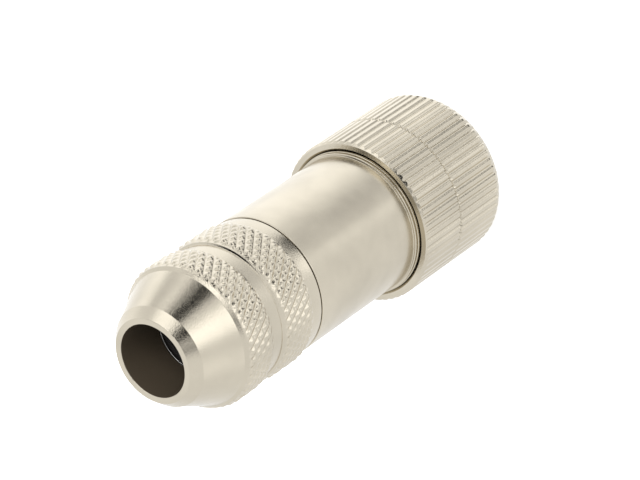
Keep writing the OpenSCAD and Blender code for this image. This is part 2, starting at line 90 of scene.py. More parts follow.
@dataclass(frozen=True)
class Corner:
    """A corner of a turned outline.

    Attributes:
        r: Distance from the axis.
        z: Height along the axis.
        round: Radius of the broken edge.
        thread: Depth of thread cut from here to the next corner; positive cuts outwards.
    """

    r: float
    z: float
    round: float = 0.0
    thread: float = 0.0


@dataclass
class Outline:
    """Points of a turned outline.

    Attributes:
        points: Radius and height of each point.
        threads: Depth of thread at each point.
    """

    points: list[Point]
    threads: list[float]


# Steps of a round
ARC_STEPS = 3
# Distance from a round's end to the point that keeps the next face flat, and the most of the edge
# left over that it takes
SUPPORT = 0.02
SUPPORT_SHARE = 0.3
# Part of an edge that the two rounds at its ends share, and the part of one round by default
ROUNDS_SHARE = 0.88
ROUND_SHARE = 0.42
# Shortest edge that is rounded, and half of the least angle by which a rounded corner turns
SHORT_EDGE = 1e-6
NEARLY_STRAIGHT = 0.02
# Distance between the points of a threaded length, and the run-out at each of its ends
THREAD_STEP = 0.125
THREAD_FADE = 0.35


def fillet(
    before: Point,
    at: Point,
    after: Point,
    radius: float,
    shares: Point = (ROUND_SHARE, ROUND_SHARE),
) -> list[Point]:
    """Points of the round between two straight edges, with a support point on each side.

    Args:
        before: The corner before.
        at: The corner that is rounded.
        after: The corner after.
        radius: Wanted radius; short edges make it smaller.
        shares: Parts of the two edges that the round may take.

    Returns:
        The points from the first edge to the second; always the same count for a radius above 0.
    """
    if radius <= 0:
        return [at]
    p = np.array(at)
    u = np.array(before) - p
    v = np.array(after) - p
    lu, lv = float(np.linalg.norm(u)), float(np.linalg.norm(v))
    count = ARC_STEPS + 3
    if min(lu, lv) < SHORT_EDGE:
        return [at] * count
    u, v = u / lu, v / lv
    half = math.acos(max(-1.0, min(1.0, float(u @ v)))) / 2
    if half > math.pi / 2 - NEARLY_STRAIGHT:
        return [at] * count
    reach = min(radius / math.tan(half), shares[0] * lu, shares[1] * lv)
    radius = reach * math.tan(half)
    bisector = (u + v) / np.linalg.norm(u + v)
    centre = p + bisector * radius / math.sin(half)
    start, end = p + u * reach, p + v * reach
    a, b = start - centre, end - centre
    sweep = math.pi - 2 * half
    room_u, room_v = (lu - reach) * SUPPORT_SHARE, (lv - reach) * SUPPORT_SHARE
    points = [tuple(start + u * min(SUPPORT, room_u))]
    for k in range(ARC_STEPS + 1):
        t = k / ARC_STEPS
        w = (math.sin((1 - t) * sweep) * a + math.sin(t * sweep) * b) / math.sin(sweep)
        points.append(tuple(centre + w))
    points.append(tuple(end + v * min(SUPPORT, room_v)))
    return points


def closed_outline(corners: Sequence[Corner]) -> Outline:
    """Rounds the corners of a closed outline and divides the lengths that carry a thread.

    Args:
        corners: The corners in order.

    Returns:
        The outline's points; the last joins the first.
    """
    points: list[Point] = []
    threads: list[float] = []
    n = len(corners)
    for i, c in enumerate(corners):
        previous, following = corners[i - 1], corners[(i + 1) % n]
        ends = (previous.r, previous.z), (c.r, c.z), (following.r, following.z)
        shares = tuple(
            ROUNDS_SHARE * c.round / (c.round + other.round) if c.round else ROUND_SHARE
            for other in (previous, following)
        )
        for p in fillet(*ends, c.round, shares):
            points.append(p)
            threads.append(0.0)
        if c.thread:
            length = following.z - c.z
            steps = max(2, round(abs(length) / THREAD_STEP))
            for k in range(1, steps):
                z = c.z + length * k / steps
                edge = min(abs(z - c.z), abs(following.z - z))
                points.append((c.r + (following.r - c.r) * k / steps, z))
                threads.append(c.thread * min(1.0, edge / THREAD_FADE))
    return Outline(points, threads)


# ------------------------------------------------------------------ meshes


class MeshMaker:
    """Collects vertices and faces in millimetres and turns them into one object."""

    def __init__(self) -> None:
        """Starts empty."""
        self.vertices: list[Place] = []
        self.threads: list[float] = []
        self.faces: list[tuple[int, ...]] = []

    def row(self, points: Sequence[Point], angles: Sequence[float], thread: float) -> list[int]:
        """Adds one row of vertices.

        Args:
            points: Radius and height of each vertex.
            angles: Angle of each vertex round the axis.
            thread: Depth of thread on the whole row.

        Returns:
            The vertices' numbers.
        """
        first = len(self.vertices)
        for (r, z), a in zip(points, angles):
            self.vertices.append((r * math.cos(a), r * math.sin(a), z))
            self.threads.append(thread)
        return list(range(first, len(self.vertices)))

    def strip(self, low: Sequence[int], high: Sequence[int], wrap: bool = False) -> None:
        """Joins two rows of the same length with quads.

        Args:
            low: Vertices of the first row.
            high: Vertices of the second row.
            wrap: Whether the last vertex joins the first.
        """
        n = len(low)
        for i in range(n if wrap else n - 1):
            j = (i + 1) % n
            self.faces.append((low[i], low[j], high[j], high[i]))

    def strips(self, rows: Sequence[Sequence[int]], wrap: bool = False) -> None:
        """Joins each row with the next one, as strip does."""
        for low, high in zip(rows, rows[1:]):
            self.strip(low, high, wrap)

    def zipper(self, low: Sequence[int], high: Sequence[int]) -> None:
        """Joins two rows of different lengths with triangles, nearest share first.

        Args:
            low: Vertices of the first row.
            high: Vertices of the second row.
        """
        i = j = 0
        while i < len(low) - 1 or j < len(high) - 1:
            low_share = (i + 1) / (len(low) - 1)
            high_share = (j + 1) / (len(high) - 1)
            if j == len(high) - 1 or (i < len(low) - 1 and low_share <= high_share):
                self.faces.append((low[i], low[i + 1], high[j]))
                i += 1
            else:
                self.faces.append((low[i], high[j + 1], high[j]))
                j += 1

    def build(self, name: str) -> bpy.types.Object:
        """Makes the object, in metres, with the thread's depth as an attribute.

        Args:
            name: The object's name.

        Returns:
            The new object.
        """
        mesh = bpy.data.meshes.new(name)
        mesh.from_pydata([tuple(c * MM for c in v) for v in self.vertices], [], self.faces)
        attribute = mesh.attributes.new(THREAD_ATTRIBUTE, "FLOAT", "POINT")
        attribute.data.foreach_set("value", np.array(self.threads, np.float32) * MM)
        mesh.update()
        obj = bpy.data.objects.new(name, mesh)
        bpy.context.scene.collection.objects.link(obj)
        return obj


def turned_piece(name: str, corners: Sequence[Corner], segments: int) -> bpy.types.Object:
    """Sweeps a closed outline all round the axis.

    Args:
        name: The object's name.
        corners: Corners of the closed outline.
        segments: Steps round the axis.

    Returns:
        The new object.
    """
    outline = closed_outline(corners)
    angles = [2 * math.pi * i / segments for i in range(segments)]
    maker = MeshMaker()
    rows = [
        maker.row([p] * segments, angles, t) for p, t in zip(outline.points, outline.threads)
    ]
    maker.strips(rows + rows[:1], wrap=True)
    return maker.build(name)


def finish_mesh(obj: bpy.types.Object, crease_deg: float) -> None:
    """Merges doubles, turns the faces outwards and shades smooth between creases.

    Args:
        obj: A closed shell.
        crease_deg: Angle above which an edge stays sharp.
    """
    bm = bmesh.new()
    bm.from_mesh(obj.data)
    bmesh.ops.remove_doubles(bm, verts=bm.verts, dist=WELD)
    bmesh.ops.dissolve_degenerate(bm, dist=WELD / 2, edges=bm.edges)
    bmesh.ops.recalc_face_normals(bm, faces=bm.faces)
    bm.to_mesh(obj.data)
    bm.free()
    obj.data.shade_smooth()
    obj.data.set_sharp_from_angle(angle=math.radians(crease_deg))
    if THREAD_ATTRIBUTE in obj.data.attributes:
        obj.data.attributes.remove(obj.data.attributes[THREAD_ATTRIBUTE])


# ------------------------------------------------------------------ node trees


def add_node(tree: bpy.types.NodeTree, kind: str, **values: object) -> bpy.types.Node:
    """Adds a node and sets its properties.

    Args:
        tree: The tree that gets the node.
        kind: Blender's identifier of the node.
        values: Properties by name.

    Returns:
        The new node.
    """
    node = tree.nodes.new(kind)
    for key, value in values.items():
        setattr(node, key, value)
    return node


def feed(tree: bpy.types.NodeTree, socket: bpy.types.NodeSocket, value: object) -> None:
    """Links an input to another socket, or sets its plain value.

    Args:
        tree: The tree that holds both.
        socket: The input.
        value: A socket, or a number, colour or vector.
    """
    if isinstance(value, bpy.types.NodeSocket):
        tree.links.new(value, socket)
    else:
        socket.default_value = value


def math_node(
    tree: bpy.types.NodeTree, operation: str, a: object, b: object = 0.0, clamp: bool = False
) -> bpy.types.NodeSocket:
    """Adds a Math node.

    Args:
        tree: The tree that gets the node.
        operation: What the node does.
        a: First input, a socket or a number.
        b: Second input, a socket or a number.
        clamp: Whether the result is held between 0 and 1.

    Returns:
        The node's output.
    """
    node = add_node(tree, "ShaderNodeMath", operation=operation, use_clamp=clamp)
    feed(tree, node.inputs[0], a)
    feed(tree, node.inputs[1], b)
    return node.outputs[0]


def radius_node(
    tree: bpy.types.NodeTree, x: bpy.types.NodeSocket, y: bpy.types.NodeSocket
) -> bpy.types.NodeSocket:
    """Adds the nodes for the distance from the axis.

    Args:
        tree: The tree that gets the nodes.
        x: First coordinate.
        y: Second coordinate.

    Returns:
        The distance.
    """
    squares = math_node(
        tree, "ADD", math_node(tree, "MULTIPLY", x, x), math_node(tree, "MULTIPLY", y, y)
    )
    return math_node(tree, "SQRT", squares)


class MixKind(Enum):
    """What a Mix node mixes: its data type, its first input and its output."""

    NUMBERS = ("FLOAT", 2, 0)
    COLOURS = ("RGBA", 6, 2)


def mix_node(
    tree: bpy.types.NodeTree, kind: MixKind, factor: bpy.types.NodeSocket, a: object, b: object
) -> bpy.types.NodeSocket:
    """Adds a Mix node.

    Args:
        tree: The tree that gets the node.
        kind: What is mixed.
        factor: Share of the second input.
        a: First input, a socket or a value.
        b: Second input, a socket or a value.

    Returns:
        The node's output.
    """
    data_type, first, output = kind.value
    node = add_node(tree, "ShaderNodeMix", data_type=data_type)
    feed(tree, node.inputs[0], factor)
    feed(tree, node.inputs[first], a)
    feed(tree, node.inputs[first + 1], b)
    return node.outputs[output]


class PieceTree:
    """Geometry node tree with a mesh in and out, whose inputs are set by identifier."""

    def __init__(self, name: str, inputs: dict[str, str]) -> None:
        """Makes the tree with its sockets.

        Args:
            name: The tree's name.
            inputs: Kind of each further input, by its name.
        """
        self.tree = bpy.data.node_groups.new(name, "GeometryNodeTree")
        sockets = self.tree.interface
        sockets.new_socket("Geometry", in_out="INPUT", socket_type="NodeSocketGeometry")
        self.ids = {
            key: sockets.new_socket(key, in_out="INPUT", socket_type=kind).identifier
            for key, kind in inputs.items()
        }
        sockets.new_socket("Geometry", in_out="OUTPUT", socket_type="NodeSocketGeometry")
        self.given = add_node(self.tree, "NodeGroupInput")
        self.result = add_node(self.tree, "NodeGroupOutput")

    def link(self, links: Sequence[tuple[bpy.types.NodeSocket, bpy.types.NodeSocket]]) -> None:
        """Links each source to its target."""
        for source, target in links:
            self.tree.links.new(source, target)


class SectorRing(PieceTree):
    """Node tree that repeats one sector round the axis and welds the seams."""

    def __init__(self) -> None:
        """Builds the tree."""
        super().__init__(
            "sector_ring",
            {
                "Sectors": "NodeSocketInt",
                "Weld": "NodeSocketFloat",
                "Finish": "NodeSocketMaterial",
            },
        )
        tree, given = self.tree, self.given.outputs
        points = add_node(tree, "GeometryNodePoints")
        index = add_node(tree, "GeometryNodeInputIndex")
        turn = math_node(tree, "DIVIDE", 2 * math.pi, given["Sectors"])
        angle = math_node(tree, "MULTIPLY", turn, index.outputs[0])
        euler = add_node(tree, "ShaderNodeCombineXYZ")
        rotation = add_node(tree, "FunctionNodeEulerToRotation")
        place = add_node(tree, "GeometryNodeInstanceOnPoints")
        real = add_node(tree, "GeometryNodeRealizeInstances")
        merge = add_node(tree, "GeometryNodeMergeByDistance")
        dress = add_node(tree, "GeometryNodeSetMaterial")
        self.link(
            (
                (given["Sectors"], points.inputs["Count"]),
                (angle, euler.inputs["Z"]),
                (euler.outputs[0], rotation.inputs[0]),
                (points.outputs[0], place.inputs["Points"]),
                (given["Geometry"], place.inputs["Instance"]),
                (rotation.outputs[0], place.inputs["Rotation"]),
                (place.outputs[0], real.inputs[0]),
                (real.outputs[0], merge.inputs["Geometry"]),
                (given["Weld"], merge.inputs["Distance"]),
                (merge.outputs[0], dress.inputs["Geometry"]),
                (given["Finish"], dress.inputs["Material"]),
                (dress.outputs[0], self.result.inputs["Geometry"]),
            )
        )


class HelicalThread(PieceTree):
    """Node tree that cuts a right-hand thread wherever the depth attribute isn't 0.

    The shares say how much of half a pitch the flat crest and the flank take.
    """

    CREST_SHARE = 0.16
    FLANK_SHARE = 0.62

    def __init__(self) -> None:
        """Builds the tree."""
        super().__init__(
            "helical_thread", {"Pitch": "NodeSocketFloat", "Finish": "NodeSocketMaterial"}
        )
        tree, given = self.tree, self.given.outputs
        place = add_node(tree, "GeometryNodeInputPosition")
        parts = add_node(tree, "ShaderNodeSeparateXYZ")
        tree.links.new(place.outputs[0], parts.inputs[0])
        x, y, z = parts.outputs
        turns = math_node(tree, "DIVIDE", math_node(tree, "ARCTAN2", y, x), 2 * math.pi)
        climbs = math_node(tree, "DIVIDE", z, given["Pitch"])
        phase = math_node(tree, "FRACT", math_node(tree, "SUBTRACT", climbs, turns))
        centred = math_node(tree, "SUBTRACT", math_node(tree, "MULTIPLY", phase, 2.0), 1.0)
        valley = math_node(tree, "SUBTRACT", 1.0, math_node(tree, "ABSOLUTE", centred))
        flank = math_node(tree, "SUBTRACT", valley, self.CREST_SHARE)
        share = math_node(tree, "DIVIDE", flank, self.FLANK_SHARE, clamp=True)
        depth = add_node(tree, "GeometryNodeInputNamedAttribute", data_type="FLOAT")
        depth.inputs["Name"].default_value = THREAD_ATTRIBUTE
        shift = math_node(tree, "MULTIPLY", share, depth.outputs[0])
        scale = math_node(tree, "DIVIDE", shift, radius_node(tree, x, y))
        offset = add_node(tree, "ShaderNodeCombineXYZ")
        move = add_node(tree, "GeometryNodeSetPosition")
        real = add_node(tree, "GeometryNodeRealizeInstances")
        dress = add_node(tree, "GeometryNodeSetMaterial")
        self.link(
            (
                (math_node(tree, "MULTIPLY", x, scale), offset.inputs["X"]),
                (math_node(tree, "MULTIPLY", y, scale), offset.inputs["Y"]),
                (given["Geometry"], move.inputs["Geometry"]),
                (offset.outputs[0], move.inputs["Offset"]),
                (move.outputs[0], real.inputs[0]),
                (real.outputs[0], dress.inputs["Geometry"]),
                (given["Finish"], dress.inputs["Material"]),
                (dress.outputs[0], self.result.inputs["Geometry"]),
            )
        )


@dataclass
class Workshop:
    """The node trees, and how a mesh is put through them.

    Attributes:
        ring: Repeats a sector.
        thread: Cuts a thread.
    """

    ring: SectorRing
    thread: HelicalThread

    def apply(self, obj: bpy.types.Object, kind: PieceTree, inputs: dict[str, object]) -> None:
        """Runs one tree on an object and keeps the result as its plain mesh.

        Args:
            obj: The object.
            kind: The node tree.
            inputs: Values by the sockets' names.
        """
        modifier = obj.modifiers.new(kind.tree.name, "NODES")
        modifier.node_group = kind.tree
        for name, value in inputs.items():
            modifier[kind.ids[name]] = value
        bpy.context.view_layer.update()
        evaluated = obj.evaluated_get(bpy.context.evaluated_depsgraph_get())
        mesh = bpy.data.meshes.new_from_object(evaluated)
        obj.modifiers.remove(modifier)
        mesh.name = obj.data.name
        obj.data = mesh

    def repeat(self, obj: bpy.types.Object, sectors: int, finish: bpy.types.Material) -> None:
        """Repeats a sector round the axis."""
        self.apply(obj, self.ring, {"Sectors": sectors, "Weld": WELD, "Finish": finish})

    def cut_thread(self, obj: bpy.types.Object, pitch: float, finish: bpy.types.Material) -> None:
        """Cuts the thread of a given pitch in millimetres."""
        self.apply(obj, self.thread, {"Pitch": pitch * MM, "Finish": finish})


# ------------------------------------------------------------------ finishes


class Slot(Enum):
    """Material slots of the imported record."""

    NICKEL = "nickel_plated_brass"
    STEEL = "bare_steel"
    GOLD = "gold_plated_contact"
    INSERT = "black_insert_plastic"
    CAGE = "grey_clamp_plastic"
    NATURAL = "natural_plastic"
    BLACK_RUBBER = "black_rubber"
    GREEN_RUBBER = "green_rubber"


WHITE = (1.0, 1.0, 1.0, 1.0)
# Middle stretch of a noise, which is spread over the wanted range
NOISE_LOW, NOISE_HIGH = 0.3, 0.7
# Detail of each noise
CLOUD_DETAIL, PATCH_DETAIL, SKIN_DETAIL, RING_DETAIL = 3.0, 4.0, 2.0, 1.0
# Patches of roughness for each cloud of colour, and turning lines a metre
PATCHES_A_CLOUD = 2.3
RING_SCALE = 9000.0
# Mottle of moulded pieces: spots a metre, and what they do to colour and roughness
MOTTLE_SCALE = 600.0
MOTTLE_TONES = (0.85, 1.2)
MOTTLE_ROUGHNESS = (0.85, 1.15)


def shade(colour: Colour, factor: float) -> tuple[float, float, float, float]:
    """A colour made lighter or darker, with full alpha."""
    return (*(min(1.0, c * factor) for c in colour), 1.0)


def noise(
    tree: bpy.types.NodeTree, vector: bpy.types.NodeSocket, scale: float, detail: float
) -> bpy.types.NodeSocket:
    """Adds a Noise Texture.

    Args:
        tree: The tree that gets the node.
        vector: Where the noise is read.
        scale: Features a metre.
        detail: Finer layers of the noise.

    Returns:
        The noise's value.
    """
    node = add_node(tree, "ShaderNodeTexNoise")
    node.inputs["Scale"].default_value = scale
    node.inputs["Detail"].default_value = detail
    tree.links.new(vector, node.inputs["Vector"])
    return node.outputs["Fac"]


def remap(
    tree: bpy.types.NodeTree, value: bpy.types.NodeSocket, low: float, high: float
) -> bpy.types.NodeSocket:
    """Spreads the middle of a noise between two values.

    Args:
        tree: The tree that gets the node.
        value: The noise's value.
        low: Result at the low end.
        high: Result at the high end.

    Returns:
        The spread value.
    """
    node = add_node(tree, "ShaderNodeMapRange")
    ends = {"From Min": NOISE_LOW, "From Max": NOISE_HIGH, "To Min": low, "To Max": high}
    for key, number in ends.items():
        node.inputs[key].default_value = number
    tree.links.new(value, node.inputs["Value"])
    return node.outputs[0]


def bump_node(
    tree: bpy.types.NodeTree,
    height: bpy.types.NodeSocket,
    distance: float,
    before: Optional[bpy.types.NodeSocket] = None,
) -> bpy.types.NodeSocket:
    """Adds a Bump node.

    Args:
        tree: The tree that gets the node.
        height: Height between 0 and 1.
        distance: Height in metres that 1 stands for.
        before: Normal of the bump that it comes on top of.

    Returns:
        The new normal.
    """
    node = add_node(tree, "ShaderNodeBump")
    node.inputs["Strength"].default_value = 1.0
    node.inputs["Distance"].default_value = distance
    tree.links.new(height, node.inputs["Height"])
    if before is not None:
        tree.links.new(before, node.inputs["Normal"])
    return node.outputs[0]


def mix_shader(
    tree: bpy.types.NodeTree,
    factor: bpy.types.NodeSocket,
    a: bpy.types.NodeSocket,
    b: bpy.types.NodeSocket,
) -> bpy.types.NodeSocket:
    """Adds a Mix Shader node.

    Args:
        tree: The tree that gets the node.
        factor: Share of the second shader.
        a: First shader.
        b: Second shader.

    Returns:
        The mixed shader.
    """
    node = add_node(tree, "ShaderNodeMixShader")
    for source, socket in zip((factor, a, b), node.inputs):
        tree.links.new(source, socket)
    return node.outputs[0]


@dataclass(frozen=True)
class PlatedMetal:
    """Turned and plated metal: soft clouds, fine grain, faint turning lines and painted shade in
    the bore.

    Attributes:
        name: The material's name.
        colour: Colour of the plating.
        roughness: Mean roughness.
        cloud: Share by which colour and roughness wander.
        cloud_scale: Clouds per metre.
        grain: Height of the grain in metres.
        grain_scale: Grains per metre.
        turning: Height of the turning lines in metres.
        shaded_bore_r: Radius in millimetres below which the bore gets a dark, dull, non-metal
            skin; this is painted shade that stands in for the dark depth of the bore.
        bore_shade_colour: Colour of that painted shade.
        shaded_bore_roughness: Its roughness.
    """

    name: str
    colour: Colour
    roughness: float
    cloud: float = 0.06
    cloud_scale: float = 170.0
    grain: float = 1.2e-6
    grain_scale: float = 6500.0
    turning: float = 0.8e-6
    shaded_bore_r: float = 0.0
    bore_shade_colour: Colour = (0.07, 0.055, 0.038)
    shaded_bore_roughness: float = 0.3

    def build(self) -> bpy.types.Material:
        """Makes the material.

        Returns:
            The new material.
        """
        material = bpy.data.materials.new(self.name)
        material.use_nodes = True
        tree = material.node_tree
        surface = tree.nodes["Principled BSDF"].inputs
        coords = add_node(tree, "ShaderNodeTexCoord").outputs["Object"]
        radius, ring_vector = self.ring_vector(tree, coords)
        inside = math_node(tree, "LESS_THAN", radius, self.shaded_bore_r * MM)
        clouds = remap(tree, noise(tree, coords, self.cloud_scale, CLOUD_DETAIL), 0.0, 1.0)
        dark, light = shade(self.colour, 1 - self.cloud), shade(self.colour, 1 + self.cloud)
        plating = mix_node(tree, MixKind.COLOURS, clouds, dark, light)
        # Painted shade: a dark, dull non-metal colour in the bore below the radius, standing in
        # for the shade deep inside it
        painted_shade = (*self.bore_shade_colour, 1.0)
        feed(tree, surface["Base Color"], mix_node(tree, MixKind.COLOURS, inside, plating, painted_shade))
        feed(tree, surface["Metallic"], math_node(tree, "SUBTRACT", 1.0, inside))
        patches = noise(tree, coords, self.cloud_scale * PATCHES_A_CLOUD, PATCH_DETAIL)
        low, high = self.roughness * (1 - 3 * self.cloud), self.roughness * (1 + 3 * self.cloud)
        rough = remap(tree, patches, low, high)
        skin = mix_node(tree, MixKind.NUMBERS, inside, rough, self.shaded_bore_roughness)
        feed(tree, surface["Roughness"], skin)
        grain = bump_node(tree, noise(tree, coords, self.grain_scale, SKIN_DETAIL), self.grain)
        rings = noise(tree, ring_vector, RING_SCALE, RING_DETAIL)
        feed(tree, surface["Normal"], bump_node(tree, rings, self.turning, grain))
        return material

    @staticmethod
    def ring_vector(
        tree: bpy.types.NodeTree, coords: bpy.types.NodeSocket
    ) -> tuple[bpy.types.NodeSocket, bpy.types.NodeSocket]:
        """Adds a vector of radius and height, on which a noise runs round the axis.

        Args:
            tree: The tree that gets the nodes.
            coords: Place on the piece.

        Returns:
            The radius and the vector.
        """
        parts = add_node(tree, "ShaderNodeSeparateXYZ")
        tree.links.new(coords, parts.inputs[0])
        x, y, z = parts.outputs
        radius = radius_node(tree, x, y)
        joined = add_node(tree, "ShaderNodeCombineXYZ")
        tree.links.new(radius, joined.inputs["X"])
        tree.links.new(z, joined.inputs["Z"])
        return radius, joined.outputs[0]


@dataclass(frozen=True)
class Moulded:
    """Moulded plastic or rubber with a fine skin.

    Attributes:
        name: The material's name.
        colour: Colour of the material.
        roughness: Mean roughness.
        skin: Height of the skin's texture in metres.
        skin_scale: Bumps per metre.
        sheen: Weight of the sheen, for rubber.
    """

    name: str
    colour: Colour
    roughness: float
    skin: float = 4e-6
    skin_scale: float = 3500.0
    sheen: float = 0.0

    def build(self) -> bpy.types.Material:
        """Makes the material.

        Returns:
            The new material.
        """
        material = bpy.data.materials.new(self.name)
        material.use_nodes = True
        tree = material.node_tree
        surface = tree.nodes["Principled BSDF"].inputs
        surface["Sheen Weight"].default_value = self.sheen
        coords = add_node(tree, "ShaderNodeTexCoord").outputs["Object"]
        mottle = noise(tree, coords, MOTTLE_SCALE, CLOUD_DETAIL)
        dark, light = (shade(self.colour, tone) for tone in MOTTLE_TONES)
        spots = remap(tree, mottle, 0.0, 1.0)
        feed(tree, surface["Base Color"], mix_node(tree, MixKind.COLOURS, spots, dark, light))
        low, high = (min(1.0, self.roughness * share) for share in MOTTLE_ROUGHNESS)
        feed(tree, surface["Roughness"], remap(tree, mottle, low, high))
        skin = bump_node(tree, noise(tree, coords, self.skin_scale, SKIN_DETAIL), self.skin)
        feed(tree, surface["Normal"], skin)
        return material


NICKEL = PlatedMetal(
    # The clamp nut's bore, inside 4.37 mm, gets the painted shade
    "satin_nickel", (0.615, 0.565, 0.465), 0.09, grain=1.8e-5, grain_scale=8500.0, shaded_bore_r=4.37
)
SLEEVE_NICKEL = PlatedMetal("soft_nickel", (0.615, 0.565, 0.465), 0.22, cloud=0.08, grain=1.5e-6)
STEEL = PlatedMetal("spring_steel", (0.58, 0.57, 0.55), 0.22, cloud=0.03)
GOLD = PlatedMetal("contact_gold", (0.83, 0.58, 0.24), 0.2, cloud=0.03)
INSERT = Moulded("black_moulding", (0.016, 0.016, 0.018), 0.45)
CAGE = Moulded("grey_moulding", (0.07, 0.07, 0.075), 0.5)
NATURAL = Moulded("natural_moulding", (0.68, 0.66, 0.58), 0.5)
BLACK_RUBBER = Moulded("black_rubber_skin", (0.014, 0.012, 0.011), 0.62, sheen=0.1)
GREEN_RUBBER = Moulded("green_rubber_skin", (0.02, 0.10, 0.04), 0.55, sheen=0.1)


class Dresser:
    """Makes each finish once and gives it to pieces and CAD nodes."""

    def __init__(self) -> None:
        """Builds the finishes."""
        finishes = {
            Slot.NICKEL: NICKEL,
            Slot.STEEL: STEEL,
            Slot.GOLD: GOLD,
            Slot.INSERT: INSERT,
            Slot.CAGE: CAGE,
            Slot.NATURAL: NATURAL,
            Slot.BLACK_RUBBER: BLACK_RUBBER,
            Slot.GREEN_RUBBER: GREEN_RUBBER,
        }
        self.materials = {slot: finish.build() for slot, finish in finishes.items()}
        self.soft_nickel = SLEEVE_NICKEL.build()

    def dress(self, obj: bpy.types.Object, slot: Slot, soft: bool = False) -> None:
        """Gives an object one finish all over.

        Args:
            obj: The object.
            slot: Its material slot.
            soft: Whether it gets the sleeve's softer plating.
        """
        obj.data.materials.clear()
        obj.data.materials.append(self.soft_nickel if soft else self.materials[slot])

    def dress_node(self, node: str, slot: Slot) -> None:
        """Gives a CAD node one finish, in its own material slots.

        Args:
            node: The node's name.
            slot: Its material slot.
        """
        obj = frame["nodes"][node]
        if not obj.material_slots:
            obj.data.materials.append(self.materials[slot])
        for place in obj.material_slots:
            place.material = self.materials[slot]


# ------------------------------------------------------------------ sub-assemblies


def span(node: str) -> tuple[float, float, float]:
    """Size of a round CAD node.

    Args:
        node: The node's name.

    Returns:
        Its lowest height, highest height and radius, in millimetres.
    """
    low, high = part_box(node)
    return low.z / MM, high.z / MM, high.x / MM


@dataclass
class Piece:
    """What every piece is made with.

    Attributes:
        workshop: The node trees.
        dresser: The finishes.
    """

    workshop: Workshop
    dresser: Dresser

    def hand_over(
        self,
        obj: bpy.types.Object,
        body: str,
        node: str,
        slot: Slot,
        crease_deg: float,
        soft: bool = False,
    ) -> None:
        """Finishes a mesh and lets it stand for its CAD node.

        Args:
            obj: The piece.
            body: CAD body that it rides on.
            node: CAD node that it replaces.
            slot: Its material slot.
            crease_deg: Angle above which an edge stays sharp.
            soft: Whether it gets the softer plating.
        """
        finish_mesh(obj, crease_deg)
        self.dresser.dress(obj, slot, soft)
        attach(obj, body)
        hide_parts(node)
        log.info("%s: %d faces", obj.name, len(obj.data.polygons))


